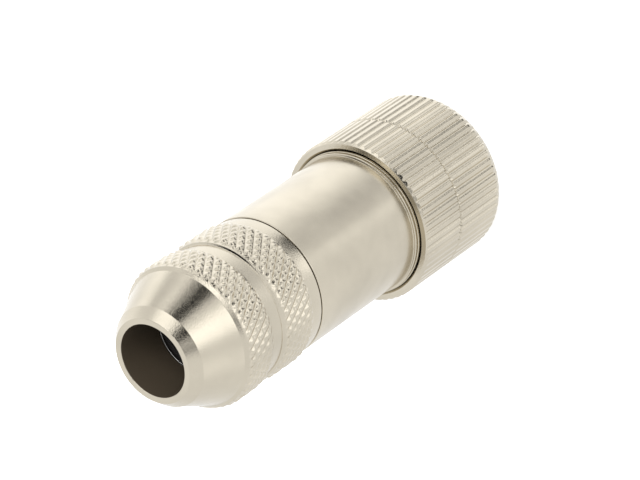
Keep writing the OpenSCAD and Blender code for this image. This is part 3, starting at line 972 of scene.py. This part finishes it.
@dataclass
class CouplingNut(Piece):
    """Knurled ring with two bands of straight knurl, half a pitch apart, and the M12 thread.

    Lengths are in millimetres. A name that ends in _z is a height, _r a radius, _w a width, _len a
    length along the axis and _round the radius of a broken edge.
    """

    # Knurl: one tooth is a crest and the V-groove next to it
    teeth: int = 64
    groove_w: float = 0.6
    groove_depth: float = 0.26
    crest_round: float = 0.12
    root_round: float = 0.18
    column_gap: float = 0.028
    # Front edge, and the length over which the knurl runs out to it
    chamfer: float = 0.5
    front_lead: float = 0.9
    front_round: float = 0.15
    lead_round: float = 1.0
    # Facets at the rear rim
    rear_rim_len: float = 0.33
    rear_rim_drop: float = 0.26
    rear_rim_round: float = 0.04
    rear_edge_round: float = 0.03
    # Dip between the bands: its depth, and its sides' length for each millimetre of depth
    seam_z: float = 8.45
    seam_drop: float = 0.12
    seam_fall: float = 0.65
    seam_rise: float = 0.9
    seam_round: float = 0.03
    # Inside, from the front
    thread_r: float = 5.5
    thread_end_z: float = 7.4
    thread_depth: float = 0.5
    pitch: float = 1.0
    lead_in: float = 0.6
    relief_r: float = 6.15
    shoulder_z: float = 8.2
    shoulder_r: float = 5.04
    rear_bore_z: float = 9.8
    rear_bore_r: float = 8.95
    bore_chamfer: float = 0.2
    bore_round: float = 0.02
    edge: float = 0.05
    rear_face_w: float = 0.1
    front_face_w: float = 0.2
    inner_columns: int = 6
    crease_deg: float = 32.0

    def groove_shape(self, outer_r: float) -> tuple[np.ndarray, np.ndarray]:
        """Radius over half a tooth, from the middle of a groove to the middle of a crest.

        Args:
            outer_r: Radius over the crests.

        Returns:
            Distances along the round and the radii there.
        """
        half = math.pi * outer_r / self.teeth
        bottom = (0.0, outer_r - self.groove_depth)
        edge = (self.groove_w / 2, outer_r)
        mirrored = (-edge[0], edge[1])
        middle = (half, outer_r)
        low = [p for p in fillet(mirrored, bottom, edge, self.root_round) if p[0] >= -1e-9]
        high = fillet(bottom, edge, middle, self.crest_round)
        line = sorted({(round(x, 6), round(y, 6)) for x, y in [*low, *high, middle]})
        xs, ys = zip(*line)
        return np.array(xs), np.array(ys)

    def column_places(self, xs: np.ndarray, half: float) -> np.ndarray:
        """Places of the columns over one whole tooth, shared by both bands.

        Args:
            xs: Places that one band needs over half a tooth.
            half: Length of half a tooth.

        Returns:
            Distances along the round, at least column_gap apart.
        """
        wanted = sorted({round(float(v), 5) for x in xs for v in (x, half - x)})
        kept = [wanted[0]]
        for value in wanted[1:]:
            if value - kept[-1] > self.column_gap:
                kept.append(value)
        kept[-1] = half
        first = np.array(kept)
        return np.concatenate([first, 2 * half - first[-2::-1]])

    def column(self, front_r: float, rear_r: float, heights: Point, outer_r: float) -> list[Point]:
        """One column of the outside, from the front edge to the rear edge.

        Args:
            front_r: Its radius in the front band.
            rear_r: Its radius in the rear band.
            heights: Lowest and highest height of the nut.
            outer_r: Radius over the crests.

        Returns:
            Radius and height of each point.
        """
        start, end = heights
        dip = min(front_r, rear_r) - self.seam_drop
        rim = outer_r - self.rear_rim_drop
        fall_z = self.seam_z - self.seam_fall * (front_r - dip)
        rise_z = self.seam_z + self.seam_rise * (rear_r - dip)
        rim_z = end - self.rear_rim_len * (rear_r - rim) / self.rear_rim_drop
        corners = [
            Corner(self.thread_r + self.lead_in, start),
            Corner(outer_r - self.chamfer, start, self.front_round),
            Corner(front_r, start + self.front_lead, self.lead_round),
            Corner(front_r, fall_z, self.seam_round),
            Corner(dip, self.seam_z),
            Corner(rear_r, rise_z, self.seam_round),
            Corner(rear_r, rim_z, self.rear_rim_round),
            Corner(rim, end, self.rear_edge_round),
            Corner(self.rear_bore_r, end),
        ]
        points: list[Point] = []
        for before, at, after in zip(corners, corners[1:], corners[2:]):
            ends = (before.r, before.z), (at.r, at.z), (after.r, after.z)
            points += fillet(*ends, at.round)
        return points

    def build(self) -> None:
        """Builds one tooth's sector, repeats it and cuts the thread."""
        start, end, outer_r = span("coupling_nut")
        half = math.pi * outer_r / self.teeth
        xs, ys = self.groove_shape(outer_r)
        places = self.column_places(xs, half)
        folded = np.minimum(places, 2 * half - places)
        front = np.interp(folded, xs, ys)
        rear = np.interp(half - folded, xs, ys)
        columns = [self.column(a, b, (start, end), outer_r) for a, b in zip(front, rear)]
        angles = list(places / outer_r)
        maker = MeshMaker()
        outside = [maker.row(points, angles, 0.0) for points in zip(*columns)]
        maker.strips(outside)
        outline = self.inside(start, end)
        few = list(np.linspace(0.0, 2 * half / outer_r, self.inner_columns + 1))
        inside = [
            maker.row([p] * len(few), few, t) for p, t in zip(outline.points, outline.threads)
        ]
        maker.strips(inside)
        maker.zipper(outside[-1], inside[0])
        maker.zipper(inside[-1], outside[0])
        obj = maker.build("coupling_ring")
        nickel = self.dresser.materials[Slot.NICKEL]
        self.workshop.repeat(obj, self.teeth, nickel)
        self.workshop.cut_thread(obj, self.pitch, nickel)
        self.hand_over(obj, "coupling", "coupling_nut", Slot.NICKEL, self.crease_deg)

    def inside(self, start: float, end: float) -> Outline:
        """Outline of the inside, from the rear face round to the front face.

        Args:
            start: Lowest height of the nut.
            end: Highest height of the nut.

        Returns:
            The outline; its first and last point lie on the faces.
        """
        chamfer_r = self.rear_bore_r + self.bore_chamfer
        mouth_r = self.thread_r + self.lead_in
        corners = [
            Corner(chamfer_r + self.rear_face_w, end),
            Corner(chamfer_r, end, self.bore_round),
            Corner(self.rear_bore_r, end - self.bore_chamfer, self.bore_round),
            Corner(self.rear_bore_r, self.rear_bore_z),
            Corner(self.shoulder_r, self.rear_bore_z, self.edge),
            Corner(self.shoulder_r, self.shoulder_z),
            Corner(self.relief_r, self.shoulder_z),
            Corner(self.relief_r, self.thread_end_z),
            Corner(self.thread_r, self.thread_end_z, 0.0, self.thread_depth),
            Corner(self.thread_r, start + self.lead_in),
            Corner(mouth_r, start, self.edge),
            Corner(mouth_r + self.front_face_w, start),
        ]
        return closed_outline(corners)


@dataclass
class ClampNut(Piece):
    """Pressing nut with two diamond-knurled bands, a smooth waist, a flare and a nose ring.

    Lengths are in millimetres, named as in CouplingNut.
    """

    # Knurl: diamonds between two sets of grooves, one set shallower than the other
    grooves: int = 48
    steps: int = 5
    angle_deg: float = 33.0
    root_r: float = 8.57
    crest_r: float = 8.8
    cross_share: float = 0.7
    flat_low: float = 0.05
    flat_high: float = 0.72
    ramp_rows: int = 3
    # Land in front, which starts below the rest and rises to the first band
    land_len: float = 1.75
    land_r: float = 8.48
    front_drop: float = 0.1
    cone_rise: float = 0.16
    lead_len: float = 1.6
    land_round: float = 0.06
    # Bands and the waist between them
    front_band: float = 4.9
    rear_band: float = 4.3
    waist_w: float = 2.3
    waist_depth: float = 0.25
    waist_round: float = 0.08
    slope: float = 0.15
    slope_round: float = 0.05
    # Flare
    land_bevel: float = 0.34
    flare_len: float = 4.5
    flare_r: float = 8.1
    flare_round: float = 0.05
    flare_small_r: float = 6.0
    flare_end_round: float = 0.02
    # Nose ring
    nose_r: float = 6.05
    nose_len: float = 1.25
    nose_step: float = 0.03
    nose_round: float = 0.03
    nose_bevel: float = 0.6
    nose_bevel_r: float = 5.56
    nose_bevel_round: float = 0.5
    nose_face_w: float = 0.73
    nose_face_round: float = 0.05
    mouth_w: float = 0.3
    mouth_round: float = 0.12
    # Inside, from the rear
    bore_r: float = 4.34
    bore_len: float = 6.5
    seat_r: float = 6.0
    seat_len: float = 1.2
    cone_len: float = 2.6
    thread_r: float = 7.53
    thread_depth: float = 0.3
    pitch: float = 1.0
    lead_in: float = 0.35
    lead_in_rise: float = 0.25
    crease_deg: float = 28.0

    def height(self, i: int, j: int) -> float:
        """Height of the knurl at a grid point, from 0 in a groove to 1 on a crest.

        Args:
            i: Step round the axis; 2 * steps make one cell.
            j: Step along the axis.

        Returns:
            The height.
        """
        cell = 2 * self.steps
        across, along = i / cell, j / cell
        rises = []
        for place in (across + along, across - along):
            share = place - math.floor(place)
            rises.append(1 - abs(2 * share - 1))
        main, cross = rises
        rise = min(main, 1 - self.cross_share + self.cross_share * cross)
        return max(0.0, min(1.0, (rise - self.flat_low) / (self.flat_high - self.flat_low)))

    def band_rows(self, length: float) -> int:
        """Half cells along a band of a given length."""
        half_w = math.pi * (self.land_r + self.crest_r) / 2 / self.grooves
        return max(2, round(length * math.tan(math.radians(self.angle_deg)) / half_w))

    def band(
        self, maker: MeshMaker, angles: list[float], z0: float, length: float, start_r: float
    ) -> list[list[int]]:
        """Adds one knurled band to a sector.

        Args:
            maker: Where the mesh is made.
            angles: Angles of the columns.
            z0: Start of the band.
            length: Length of the band.
            start_r: Radius of the land in front of it.

        Returns:
            The band's rows.
        """
        count = self.band_rows(length) * self.steps
        rows = []
        for j in range(count + 1):
            land_r = start_r if j < count / 2 else self.land_r
            fade = min(1.0, j / self.ramp_rows, (count - j) / self.ramp_rows)
            points = []
            for i in range(len(angles)):
                top = self.root_r + (self.crest_r - self.root_r) * self.height(i, j)
                points.append((land_r + (top - land_r) * fade, z0 + length * j / count))
            rows.append(maker.row(points, angles, 0.0))
        for j in range(count):
            for i in range(len(angles) - 1):
                a, b = rows[j][i], rows[j][i + 1]
                d, c = rows[j + 1][i], rows[j + 1][i + 1]
                # The diagonal of each square follows the grooves
                if (i // self.steps + j // self.steps) % 2 == 0:
                    maker.faces += [(a, b, c), (a, c, d)]
                else:
                    maker.faces += [(a, b, d), (b, c, d)]
        return rows

    @staticmethod
    def smooth(
        maker: MeshMaker, angles: list[float], corners: Sequence[Corner]
    ) -> list[list[int]]:
        """Adds plain rows to a sector.

        Args:
            maker: Where the mesh is made.
            angles: Angles of the columns.
            corners: The outline's corners; the first and last only give directions.

        Returns:
            The rows.
        """
        outline = closed_outline(corners)
        keep = outline.points[1:-1], outline.threads[1:-1]
        return [maker.row([p] * len(angles), angles, t) for p, t in zip(*keep)]

    def build(self) -> None:
        """Builds one sector, repeats it and cuts the thread."""
        start, end, _ = span("clamp_nut")
        angles = list(np.linspace(0.0, 2 * math.pi / self.grooves, 2 * self.steps + 1))
        band_z = start + self.land_len
        waist_z = band_z + self.front_band
        rear_z = waist_z + self.waist_w
        rear_end_z = rear_z + self.rear_band
        cone_r = self.land_r - self.front_drop + self.cone_rise
        maker = MeshMaker()
        inside = self.smooth(maker, angles, self.inner_corners(start, end, band_z))
        front = self.band(maker, angles, band_z, self.front_band, cone_r)
        waist = self.smooth(maker, angles, self.waist_corners(waist_z, rear_z))
        rear = self.band(maker, angles, rear_z, self.rear_band, self.land_r)
        nose = self.smooth(maker, angles, self.nose_corners(rear_end_z, end))
        maker.strips(inside + front[:1])
        maker.strips(front[-1:] + waist + rear[:1])
        maker.strips(rear[-1:] + nose + inside[:1])
        obj = maker.build("clamp_ring")
        nickel = self.dresser.materials[Slot.NICKEL]
        self.workshop.repeat(obj, self.grooves, nickel)
        self.workshop.cut_thread(obj, self.pitch, nickel)
        self.hand_over(obj, "clamp", "clamp_nut", Slot.NICKEL, self.crease_deg)

    def inner_corners(self, start: float, end: float, band_z: float) -> list[Corner]:
        """Corners from the bore's mouth inwards, out of the thread and along the first land.

        Args:
            start: Lowest height of the nut.
            end: Highest height of the nut.
            band_z: Start of the front band.

        Returns:
            The corners.
        """
        floor_z = end - self.bore_len
        cone_end = floor_z - self.seat_len
        front_r = self.land_r - self.front_drop
        cone_r = front_r + self.cone_rise
        return [
            Corner(self.bore_r + self.mouth_w, end),
            Corner(self.bore_r, end, self.mouth_round),
            Corner(self.bore_r, floor_z),
            Corner(self.seat_r, floor_z),
            Corner(self.seat_r, cone_end),
            Corner(self.thread_r, cone_end - self.cone_len, 0.0, self.thread_depth),
            Corner(self.thread_r, start + self.lead_in),
            Corner(self.thread_r + self.lead_in_rise, start),
            Corner(front_r, start, self.land_round),
            Corner(cone_r, start + self.lead_len),
            Corner(cone_r, band_z - SUPPORT),
            Corner(cone_r, band_z),
        ]

    def waist_corners(self, waist_z: float, band_z: float) -> list[Corner]:
        """Corners of the smooth groove between the bands.

        Args:
            waist_z: End of the front band.
            band_z: Start of the rear band.

        Returns:
            The corners.
        """
        waist_r = self.land_r - self.waist_depth
        slope = self.slope
        return [
            Corner(self.land_r, waist_z),
            Corner(self.land_r, waist_z + SUPPORT),
            Corner(self.land_r, waist_z + slope, self.slope_round),
            Corner(waist_r, waist_z + 2 * slope, self.waist_round),
            Corner(waist_r, band_z - 2 * slope, self.waist_round),
            Corner(self.land_r, band_z - slope, self.slope_round),
            Corner(self.land_r, band_z - SUPPORT),
            Corner(self.land_r, band_z),
        ]

    def nose_corners(self, band_z: float, end: float) -> list[Corner]:
        """Corners of the land, the flare and the nose ring, up to the bore's mouth.

        Args:
            band_z: End of the rear band.
            end: Highest height of the nut.

        Returns:
            The corners.
        """
        flare_end = end - self.nose_len
        flare_z = flare_end - self.flare_len
        return [
            Corner(self.land_r, band_z),
            Corner(self.land_r, band_z + SUPPORT),
            Corner(self.land_r, flare_z - self.land_bevel, self.land_round),
            Corner(self.flare_r, flare_z, self.flare_round),
            Corner(self.flare_small_r, flare_end, self.flare_end_round),
            Corner(self.nose_r, flare_end + self.nose_step, self.nose_round),
            Corner(self.nose_bevel_r, end - self.nose_bevel, self.nose_bevel_round),
            Corner(self.bore_r + self.nose_face_w, end, self.nose_face_round),
            Corner(self.bore_r + self.mouth_w, end),
            Corner(self.bore_r, end),
        ]


@dataclass
class TurnedPiece(Piece):
    """A piece turned all round. Lengths are in millimetres, named as in CouplingNut.

    Attributes:
        segments: Steps round the axis.
        edge: Radius of a plain broken edge.
        pitch: Pitch of its threads.
        crease_deg: Angle above which an edge stays sharp.
    """

    segments: int = 256
    edge: float = 0.06
    pitch: float = 1.0
    crease_deg: float = 30.0

    def turn(
        self, name: str, corners: Sequence[Corner], node: str, slot: Slot, body: str = "body"
    ) -> None:
        """Sweeps, threads and hands over the piece.

        Args:
            name: The piece's name.
            corners: Corners of its closed outline.
            node: CAD node that it replaces.
            slot: Its material slot.
            body: CAD body that it rides on.
        """
        obj = turned_piece(name, corners, self.segments)
        self.workshop.cut_thread(obj, self.pitch, self.dresser.materials[slot])
        soft = slot is Slot.NICKEL
        self.hand_over(obj, body, node, slot, self.crease_deg, soft)


@dataclass
class Shell(TurnedPiece):
    """Turned front body with the neck, the web, the cup and the rear flange."""

    bore_r: float = 4.19
    neck_r: float = 4.97
    neck_round: float = 0.1
    ring_groove_r: float = 4.59
    ring_start_z: float = 7.46
    ring_end_z: float = 8.14
    web_z: float = 9.9
    seat_z: float = 11.2
    cup_r: float = 8.64
    cup_bore_r: float = 8.03
    flange_w: float = 1.2
    flange_round: float = 0.1

    def build(self) -> None:
        """Builds the shell."""
        e = self.edge
        start, end, flange_r = span("insert_shell")
        corners = [
            Corner(self.bore_r, start, e),
            Corner(self.neck_r, start, self.neck_round),
            Corner(self.neck_r, self.ring_start_z, e),
            Corner(self.ring_groove_r, self.ring_start_z, e),
            Corner(self.ring_groove_r, self.ring_end_z, e),
            Corner(self.neck_r, self.ring_end_z, e),
            Corner(self.neck_r, self.web_z, e),
            Corner(self.cup_r, self.web_z, e),
            Corner(self.cup_r, end - self.flange_w, e),
            Corner(flange_r, end - self.flange_w, e),
            Corner(flange_r, end, self.flange_round),
            Corner(self.cup_bore_r, end, e),
            Corner(self.cup_bore_r, self.seat_z, e),
            Corner(self.bore_r, self.seat_z, e),
        ]
        self.turn("shell", corners, "insert_shell", Slot.NICKEL)


@dataclass
class Sleeve(TurnedPiece):
    """Sleeve with the bead, the plain body, the ledge inside and a thread at each end."""

    sleeve_r: float = 8.48
    sleeve_len: float = 17.9
    sleeve_round: float = 0.1
    bore_r: float = 6.7
    # Front thread, and the groove of the sealing ring behind it
    front_r: float = 7.95
    thread_depth: float = 0.28
    thread_stop: float = 1.8
    lead_in: float = 0.3
    ring_groove_r: float = 7.33
    ring_start_z: float = 14.27
    ring_end_z: float = 14.97
    # Bead next to the shell
    bead_z: float = 15.52
    bead_w: float = 0.42
    bead_r: float = 8.78
    bead_front_round: float = 0.1
    bead_rear_round: float = 0.12
    bead_foot_round: float = 0.08
    # Rear thread, and the ledge in its bore
    rear_r: float = 7.45
    rear_start: float = 0.35
    rear_bore_r: float = 6.2
    ledge_r: float = 5.6
    ledge_start_z: float = 30.92
    ledge_end_z: float = 31.92

    def build(self) -> None:
        """Builds the sleeve."""
        e = self.edge
        start, end, _ = span("body_sleeve")
        bead_end = self.bead_z + self.bead_w
        rear_z = self.bead_z + self.sleeve_len
        corners = [
            Corner(self.bore_r, start, e),
            Corner(self.front_r - self.lead_in, start),
            Corner(self.front_r, start + self.lead_in, 0.0, -self.thread_depth),
            Corner(self.front_r, self.bead_z - self.thread_stop, e),
            Corner(self.front_r, self.ring_start_z, e),
            Corner(self.ring_groove_r, self.ring_start_z, e),
            Corner(self.ring_groove_r, self.ring_end_z, e),
            Corner(self.front_r, self.ring_end_z, e),
            Corner(self.front_r, self.bead_z, e),
            Corner(self.bead_r, self.bead_z, self.bead_front_round),
            Corner(self.bead_r, bead_end, self.bead_rear_round),
            Corner(self.sleeve_r, bead_end, self.bead_foot_round),
            Corner(self.sleeve_r, rear_z, self.sleeve_round),
            Corner(self.rear_r, rear_z),
            Corner(self.rear_r, rear_z + self.rear_start, 0.0, -self.thread_depth),
            Corner(self.rear_r, end - self.lead_in),
            Corner(self.rear_r - self.lead_in, end),
            Corner(self.rear_bore_r, end, e),
            Corner(self.rear_bore_r, self.ledge_end_z, e),
            Corner(self.ledge_r, self.ledge_end_z, e),
            Corner(self.ledge_r, self.ledge_start_z, e),
            Corner(self.bore_r, self.ledge_start_z, e),
        ]
        self.turn("sleeve", corners, "body_sleeve", Slot.NICKEL)


@dataclass
class SlipWasher(TurnedPiece):
    """Thin washer in front of the seal, with its inner edge rolled over.

    The drops say how far below the rear face the points of the inner edge lie.
    """

    width: float = 1.46
    lip: float = 0.1
    foot: float = 0.04
    drops: tuple[float, float, float, float] = (0.08, 0.24, 0.28, 0.34)
    lip_round: float = 0.02

    def build(self) -> None:
        """Builds the washer."""
        start, end, r = span("slip_washer")
        inner = r - self.width
        lip_start, lip_end, neck, foot = self.drops
        corners = [
            Corner(inner, start, self.edge),
            Corner(r, start, self.edge),
            Corner(r, end, self.edge),
            Corner(inner + self.lip, end, self.lip_round),
            Corner(inner, end - lip_start, self.lip_round),
            Corner(inner, end - lip_end, self.lip_round),
            Corner(inner + self.lip, end - neck, self.lip_round),
            Corner(inner + self.foot, end - foot, self.lip_round),
        ]
        self.turn("washer", corners, "slip_washer", Slot.STEEL, "clamp_slide")


@dataclass
class Grommet(TurnedPiece):
    """Rubber seal with ribs round the cable."""

    wall: float = 1.15
    ribs: int = 4
    rib_h: float = 0.3
    rib_round: float = 0.1
    groove_round: float = 0.08
    rim_round: float = 0.1
    mouth_round: float = 0.25

    def build(self) -> None:
        """Builds the seal."""
        start, end, r = span("cable_seal")
        inner = r - self.wall
        groove = inner + self.rib_h
        spacing = (end - start) / (self.ribs + 1)
        corners = [Corner(r, end, self.rim_round), Corner(inner, end, self.mouth_round)]
        for i in range(self.ribs, 0, -1):
            z = start + i * spacing
            corners += [
                Corner(groove, z + self.rib_h, self.groove_round),
                Corner(inner, z, self.rib_round),
                Corner(groove, z - self.rib_h, self.groove_round),
            ]
        corners += [Corner(groove, start, self.rim_round), Corner(r, start, self.rim_round)]
        self.turn("grommet", corners, "cable_seal", Slot.BLACK_RUBBER)


@dataclass
class InnerParts:
    """CAD nodes that keep their own shape and only get a finish.

    Attributes:
        dresser: The finishes.
        contacts: Number of socket contacts.
    """

    dresser: Dresser
    contacts: int = 5

    def build(self) -> None:
        """Dresses each node."""
        slots = {
            "nut_retaining_ring": Slot.STEEL,
            "front_seal_ring": Slot.GREEN_RUBBER,
            "contact_insert": Slot.INSERT,
            "terminal_screws": Slot.STEEL,
            "shell_o_ring": Slot.BLACK_RUBBER,
            "distance_sleeve": Slot.NATURAL,
            "shield_ring": Slot.NICKEL,
            "iris_spring": Slot.STEEL,
            "clamp_cage": Slot.CAGE,
        }
        slots |= {f"socket_contact_{n + 1}": Slot.GOLD for n in range(self.contacts)}
        for node, slot in slots.items():
            self.dresser.dress_node(node, slot)
            log.info("%s: %s", node, slot.value)


# ------------------------------------------------------------------ studio


@dataclass(frozen=True)
class Patch:
    """A soft round patch of the studio's walls, by its direction from the part.

    Attributes:
        azimuth: Direction round the axis, in degrees.
        elevation: Direction above the floor, in degrees.
        inner: Angle from the middle that is at full strength, in degrees.
        outer: Angle from the middle at which it ends, in degrees.
        level: Brightness there; the walls are 1.
    """

    azimuth: float
    elevation: float
    inner: float
    outer: float
    level: float

    def direction(self) -> Vector:
        """Unit vector towards the patch."""
        a, e = math.radians(self.azimuth), math.radians(self.elevation)
        return Vector((math.cos(a) * math.cos(e), math.sin(a) * math.cos(e), math.sin(e)))


@dataclass(frozen=True)
class Lamp:
    """A large soft lamp that no metal mirrors.

    Attributes:
        name: The lamp's name.
        place: Where it hangs, in metres.
        size: Width of its square, in metres.
        power: Its power in watts.
    """

    name: str
    place: Place
    size: float
    power: float

    def build(self, aim: Vector) -> None:
        """Hangs the lamp.

        Args:
            aim: The point that it looks at.
        """
        light = bpy.data.lights.new(self.name, "AREA")
        light.size = self.size
        light.energy = self.power
        lamp = bpy.data.objects.new(self.name, light)
        lamp.location = self.place
        lamp.rotation_euler = (aim - Vector(self.place)).to_track_quat("-Z", "Y").to_euler()
        lamp.visible_glossy = False
        bpy.context.scene.collection.objects.link(lamp)


@dataclass
class Studio:
    """White studio: walls with soft panels and dark flags, lamps, floor and camera.

    Attributes:
        wall_level: Brightness of the walls where there is no patch.
        fill_level: Brightness of the walls in light that isn't mirrored.
        patches: Soft patches of the walls; a later one covers those before it.
        lamps: Lamps for the plastics, the rubber and the floor's shadow.
        aim_z: Height of the part's middle, in metres.
        floor_r: Radius of the floor, in millimetres.
        floor_z: Height of the floor, in millimetres.
        floor_steps: Steps round the floor.
        floor_tone: Colour of the floor.
        floor_glow: Light that the floor adds for the camera.
        sensor_w: Width of the camera's sensor, in millimetres.
        lens: Focal length, in millimetres.
        clip: Nearest and farthest distance that the camera sees, in metres.
        camera_place: Where the camera stands, in metres.
        camera_axes: Rows of the camera's rotation.
    """

    wall_level: float = 1.0
    fill_level: float = 0.75
    patches: tuple[Patch, ...] = (
        Patch(145, -38, 22, 52, 1.46),
        Patch(172, -22, 12, 30, 1.25),
        Patch(-44, 0, 8, 22, 1.14),
        Patch(-154, 42, 12, 30, 1.05),
        Patch(44, 56, 6, 13, 1.4),
        Patch(71, 50, 9, 18, 1.85),
        Patch(3, 50, 8, 15, 0.45),
        Patch(86, 24, 12, 22, 1.6),
        Patch(118, -5, 5, 13, 0.85),
        Patch(99, 0, 3, 8, 1.2),
        Patch(17, 5, 9, 25, 1.75),
        Patch(82, 0, 4, 11, 0.35),
        Patch(66, 4, 8, 17, 0.03),
        Patch(4, 30, 7, 13, 0.42),
        Patch(37, 31, 11, 16, 0.02),
        Patch(40, -43, 5, 14, 0.85),
        Patch(16, -57, 7, 12, 1.5),
        Patch(63, -60, 9, 14, 0.05),
        Patch(116, 62, 16, 22, 0.01),
        Patch(60, -20, 6, 14, 1.6),
    )

    lamps: tuple[Lamp, ...] = (
        Lamp("key", (0.22, 0.30, 0.42), 0.35, 2.2),
        Lamp("fill", (-0.35, -0.15, 0.30), 0.4, 1.0),
    )
    aim_z: float = 0.026
    floor_r: float = 2000.0
    floor_z: float = -0.01
    floor_steps: int = 64
    floor_tone: float = 0.86
    floor_glow: float = 0.5
    sensor_w: float = 36.0
    lens: float = 196.875
    clip: Point = (0.01, 20.0)
    camera_place: Place = (0.25565, 0.12264, 0.30020)
    camera_axes: tuple[Place, Place, Place] = (
        (0.7650254, 0.0, 0.6440002),
        (-0.2585382, 0.9158780, 0.3071245),
        (-0.5898257, -0.4014567, 0.7006699),
    )

    def build(self) -> None:
        """Builds the walls, lamps, floor and camera."""
        self.walls()
        for lamp in self.lamps:
            lamp.build(Vector((0, 0, self.aim_z)))
        self.floor()
        self.camera()

    @staticmethod
    def background(tree: bpy.types.NodeTree, strength: object) -> bpy.types.NodeSocket:
        """Adds a white Background node.

        Args:
            tree: The tree that gets the node.
            strength: Its strength, a socket or a number.

        Returns:
            The background.
        """
        node = add_node(tree, "ShaderNodeBackground")
        feed(tree, node.inputs["Color"], WHITE)
        feed(tree, node.inputs["Strength"], strength)
        return node.outputs[0]

    def walls(self) -> None:
        """World: white for the camera, with the studio's panels and flags in reflections."""
        world = bpy.data.worlds.new("studio")
        bpy.context.scene.world = world
        world.use_nodes = True
        tree = world.node_tree
        tree.nodes.clear()
        direction = add_node(tree, "ShaderNodeTexCoord").outputs["Generated"]
        level: object = self.wall_level
        for patch in self.patches:
            dot = add_node(tree, "ShaderNodeVectorMath", operation="DOT_PRODUCT")
            dot.inputs[1].default_value = patch.direction()
            tree.links.new(direction, dot.inputs[0])
            soft = add_node(tree, "ShaderNodeMapRange", interpolation_type="SMOOTHSTEP")
            soft.inputs["From Min"].default_value = math.cos(math.radians(patch.outer))
            soft.inputs["From Max"].default_value = math.cos(math.radians(patch.inner))
            tree.links.new(dot.outputs["Value"], soft.inputs["Value"])
            level = mix_node(tree, MixKind.NUMBERS, soft.outputs[0], level, patch.level)
        path = add_node(tree, "ShaderNodeLightPath").outputs
        sharp = math_node(tree, "MAXIMUM", path["Is Glossy Ray"], path["Is Transmission Ray"])
        seen = self.background(tree, self.wall_level)
        fill = self.background(tree, self.fill_level)
        lit = mix_shader(tree, sharp, fill, self.background(tree, level))
        shown = mix_shader(tree, path["Is Camera Ray"], lit, seen)
        out = add_node(tree, "ShaderNodeOutputWorld")
        tree.links.new(shown, out.inputs["Surface"])

    def floor(self) -> None:
        """Pale floor that keeps the part's shadow and can be looked through from below."""
        maker = MeshMaker()
        steps = self.floor_steps
        angles = [2 * math.pi * i / steps for i in range(steps)]
        rim = maker.row([(self.floor_r, self.floor_z)] * steps, angles, 0.0)
        maker.faces.append(tuple(rim))
        obj = maker.build("floor")
        obj.data.attributes.remove(obj.data.attributes[THREAD_ATTRIBUTE])
        obj.data.materials.append(self.floor_finish())
        obj.visible_glossy = False

    def floor_finish(self) -> bpy.types.Material:
        """Makes the floor's material: pale from above, clear from below.

        Returns:
            The new material.
        """
        material = bpy.data.materials.new("pale_floor")
        material.use_nodes = True
        tree = material.node_tree
        tree.nodes.clear()
        ground = add_node(tree, "ShaderNodeBsdfDiffuse")
        ground.inputs["Color"].default_value = (*[self.floor_tone] * 3, 1)
        glow = add_node(tree, "ShaderNodeEmission")
        path = add_node(tree, "ShaderNodeLightPath").outputs
        strength = math_node(tree, "MULTIPLY", path["Is Camera Ray"], self.floor_glow)
        feed(tree, glow.inputs["Strength"], strength)
        both = add_node(tree, "ShaderNodeAddShader")
        tree.links.new(ground.outputs[0], both.inputs[0])
        tree.links.new(glow.outputs[0], both.inputs[1])
        clear = add_node(tree, "ShaderNodeBsdfTransparent")
        side = add_node(tree, "ShaderNodeNewGeometry").outputs["Backfacing"]
        out = add_node(tree, "ShaderNodeOutputMaterial")
        shown = mix_shader(tree, side, both.outputs[0], clear.outputs[0])
        tree.links.new(shown, out.inputs["Surface"])
        return material

    def camera(self) -> None:
        """Camera that looks at the cable end from above, rolled so that the part lies aslant."""
        data = bpy.data.cameras.new("camera")
        data.sensor_width = self.sensor_w
        data.lens = self.lens
        data.clip_start, data.clip_end = self.clip
        camera = bpy.data.objects.new("camera", data)
        turn = Matrix(self.camera_axes).to_4x4()
        camera.matrix_world = Matrix.Translation(self.camera_place) @ turn
        bpy.context.scene.collection.objects.link(camera)
        bpy.context.scene.camera = camera


def write_size() -> None:
    """Updates the view layer; nothing is written."""
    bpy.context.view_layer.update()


def main() -> None:
    """Builds the studio and every sub-assembly, in order."""
    logging.basicConfig(level=logging.INFO, format="%(name)s: %(message)s")
    bpy.context.scene.view_settings.view_transform = "Standard"
    Studio().build()
    dresser = Dresser()
    workshop = Workshop(SectorRing(), HelicalThread())
    CouplingNut(workshop, dresser).build()
    Shell(workshop, dresser).build()
    Sleeve(workshop, dresser).build()
    SlipWasher(workshop, dresser).build()
    Grommet(workshop, dresser).build()
    ClampNut(workshop, dresser).build()
    InnerParts(dresser).build()
    write_size()


if __name__ == "__main__":
    main()
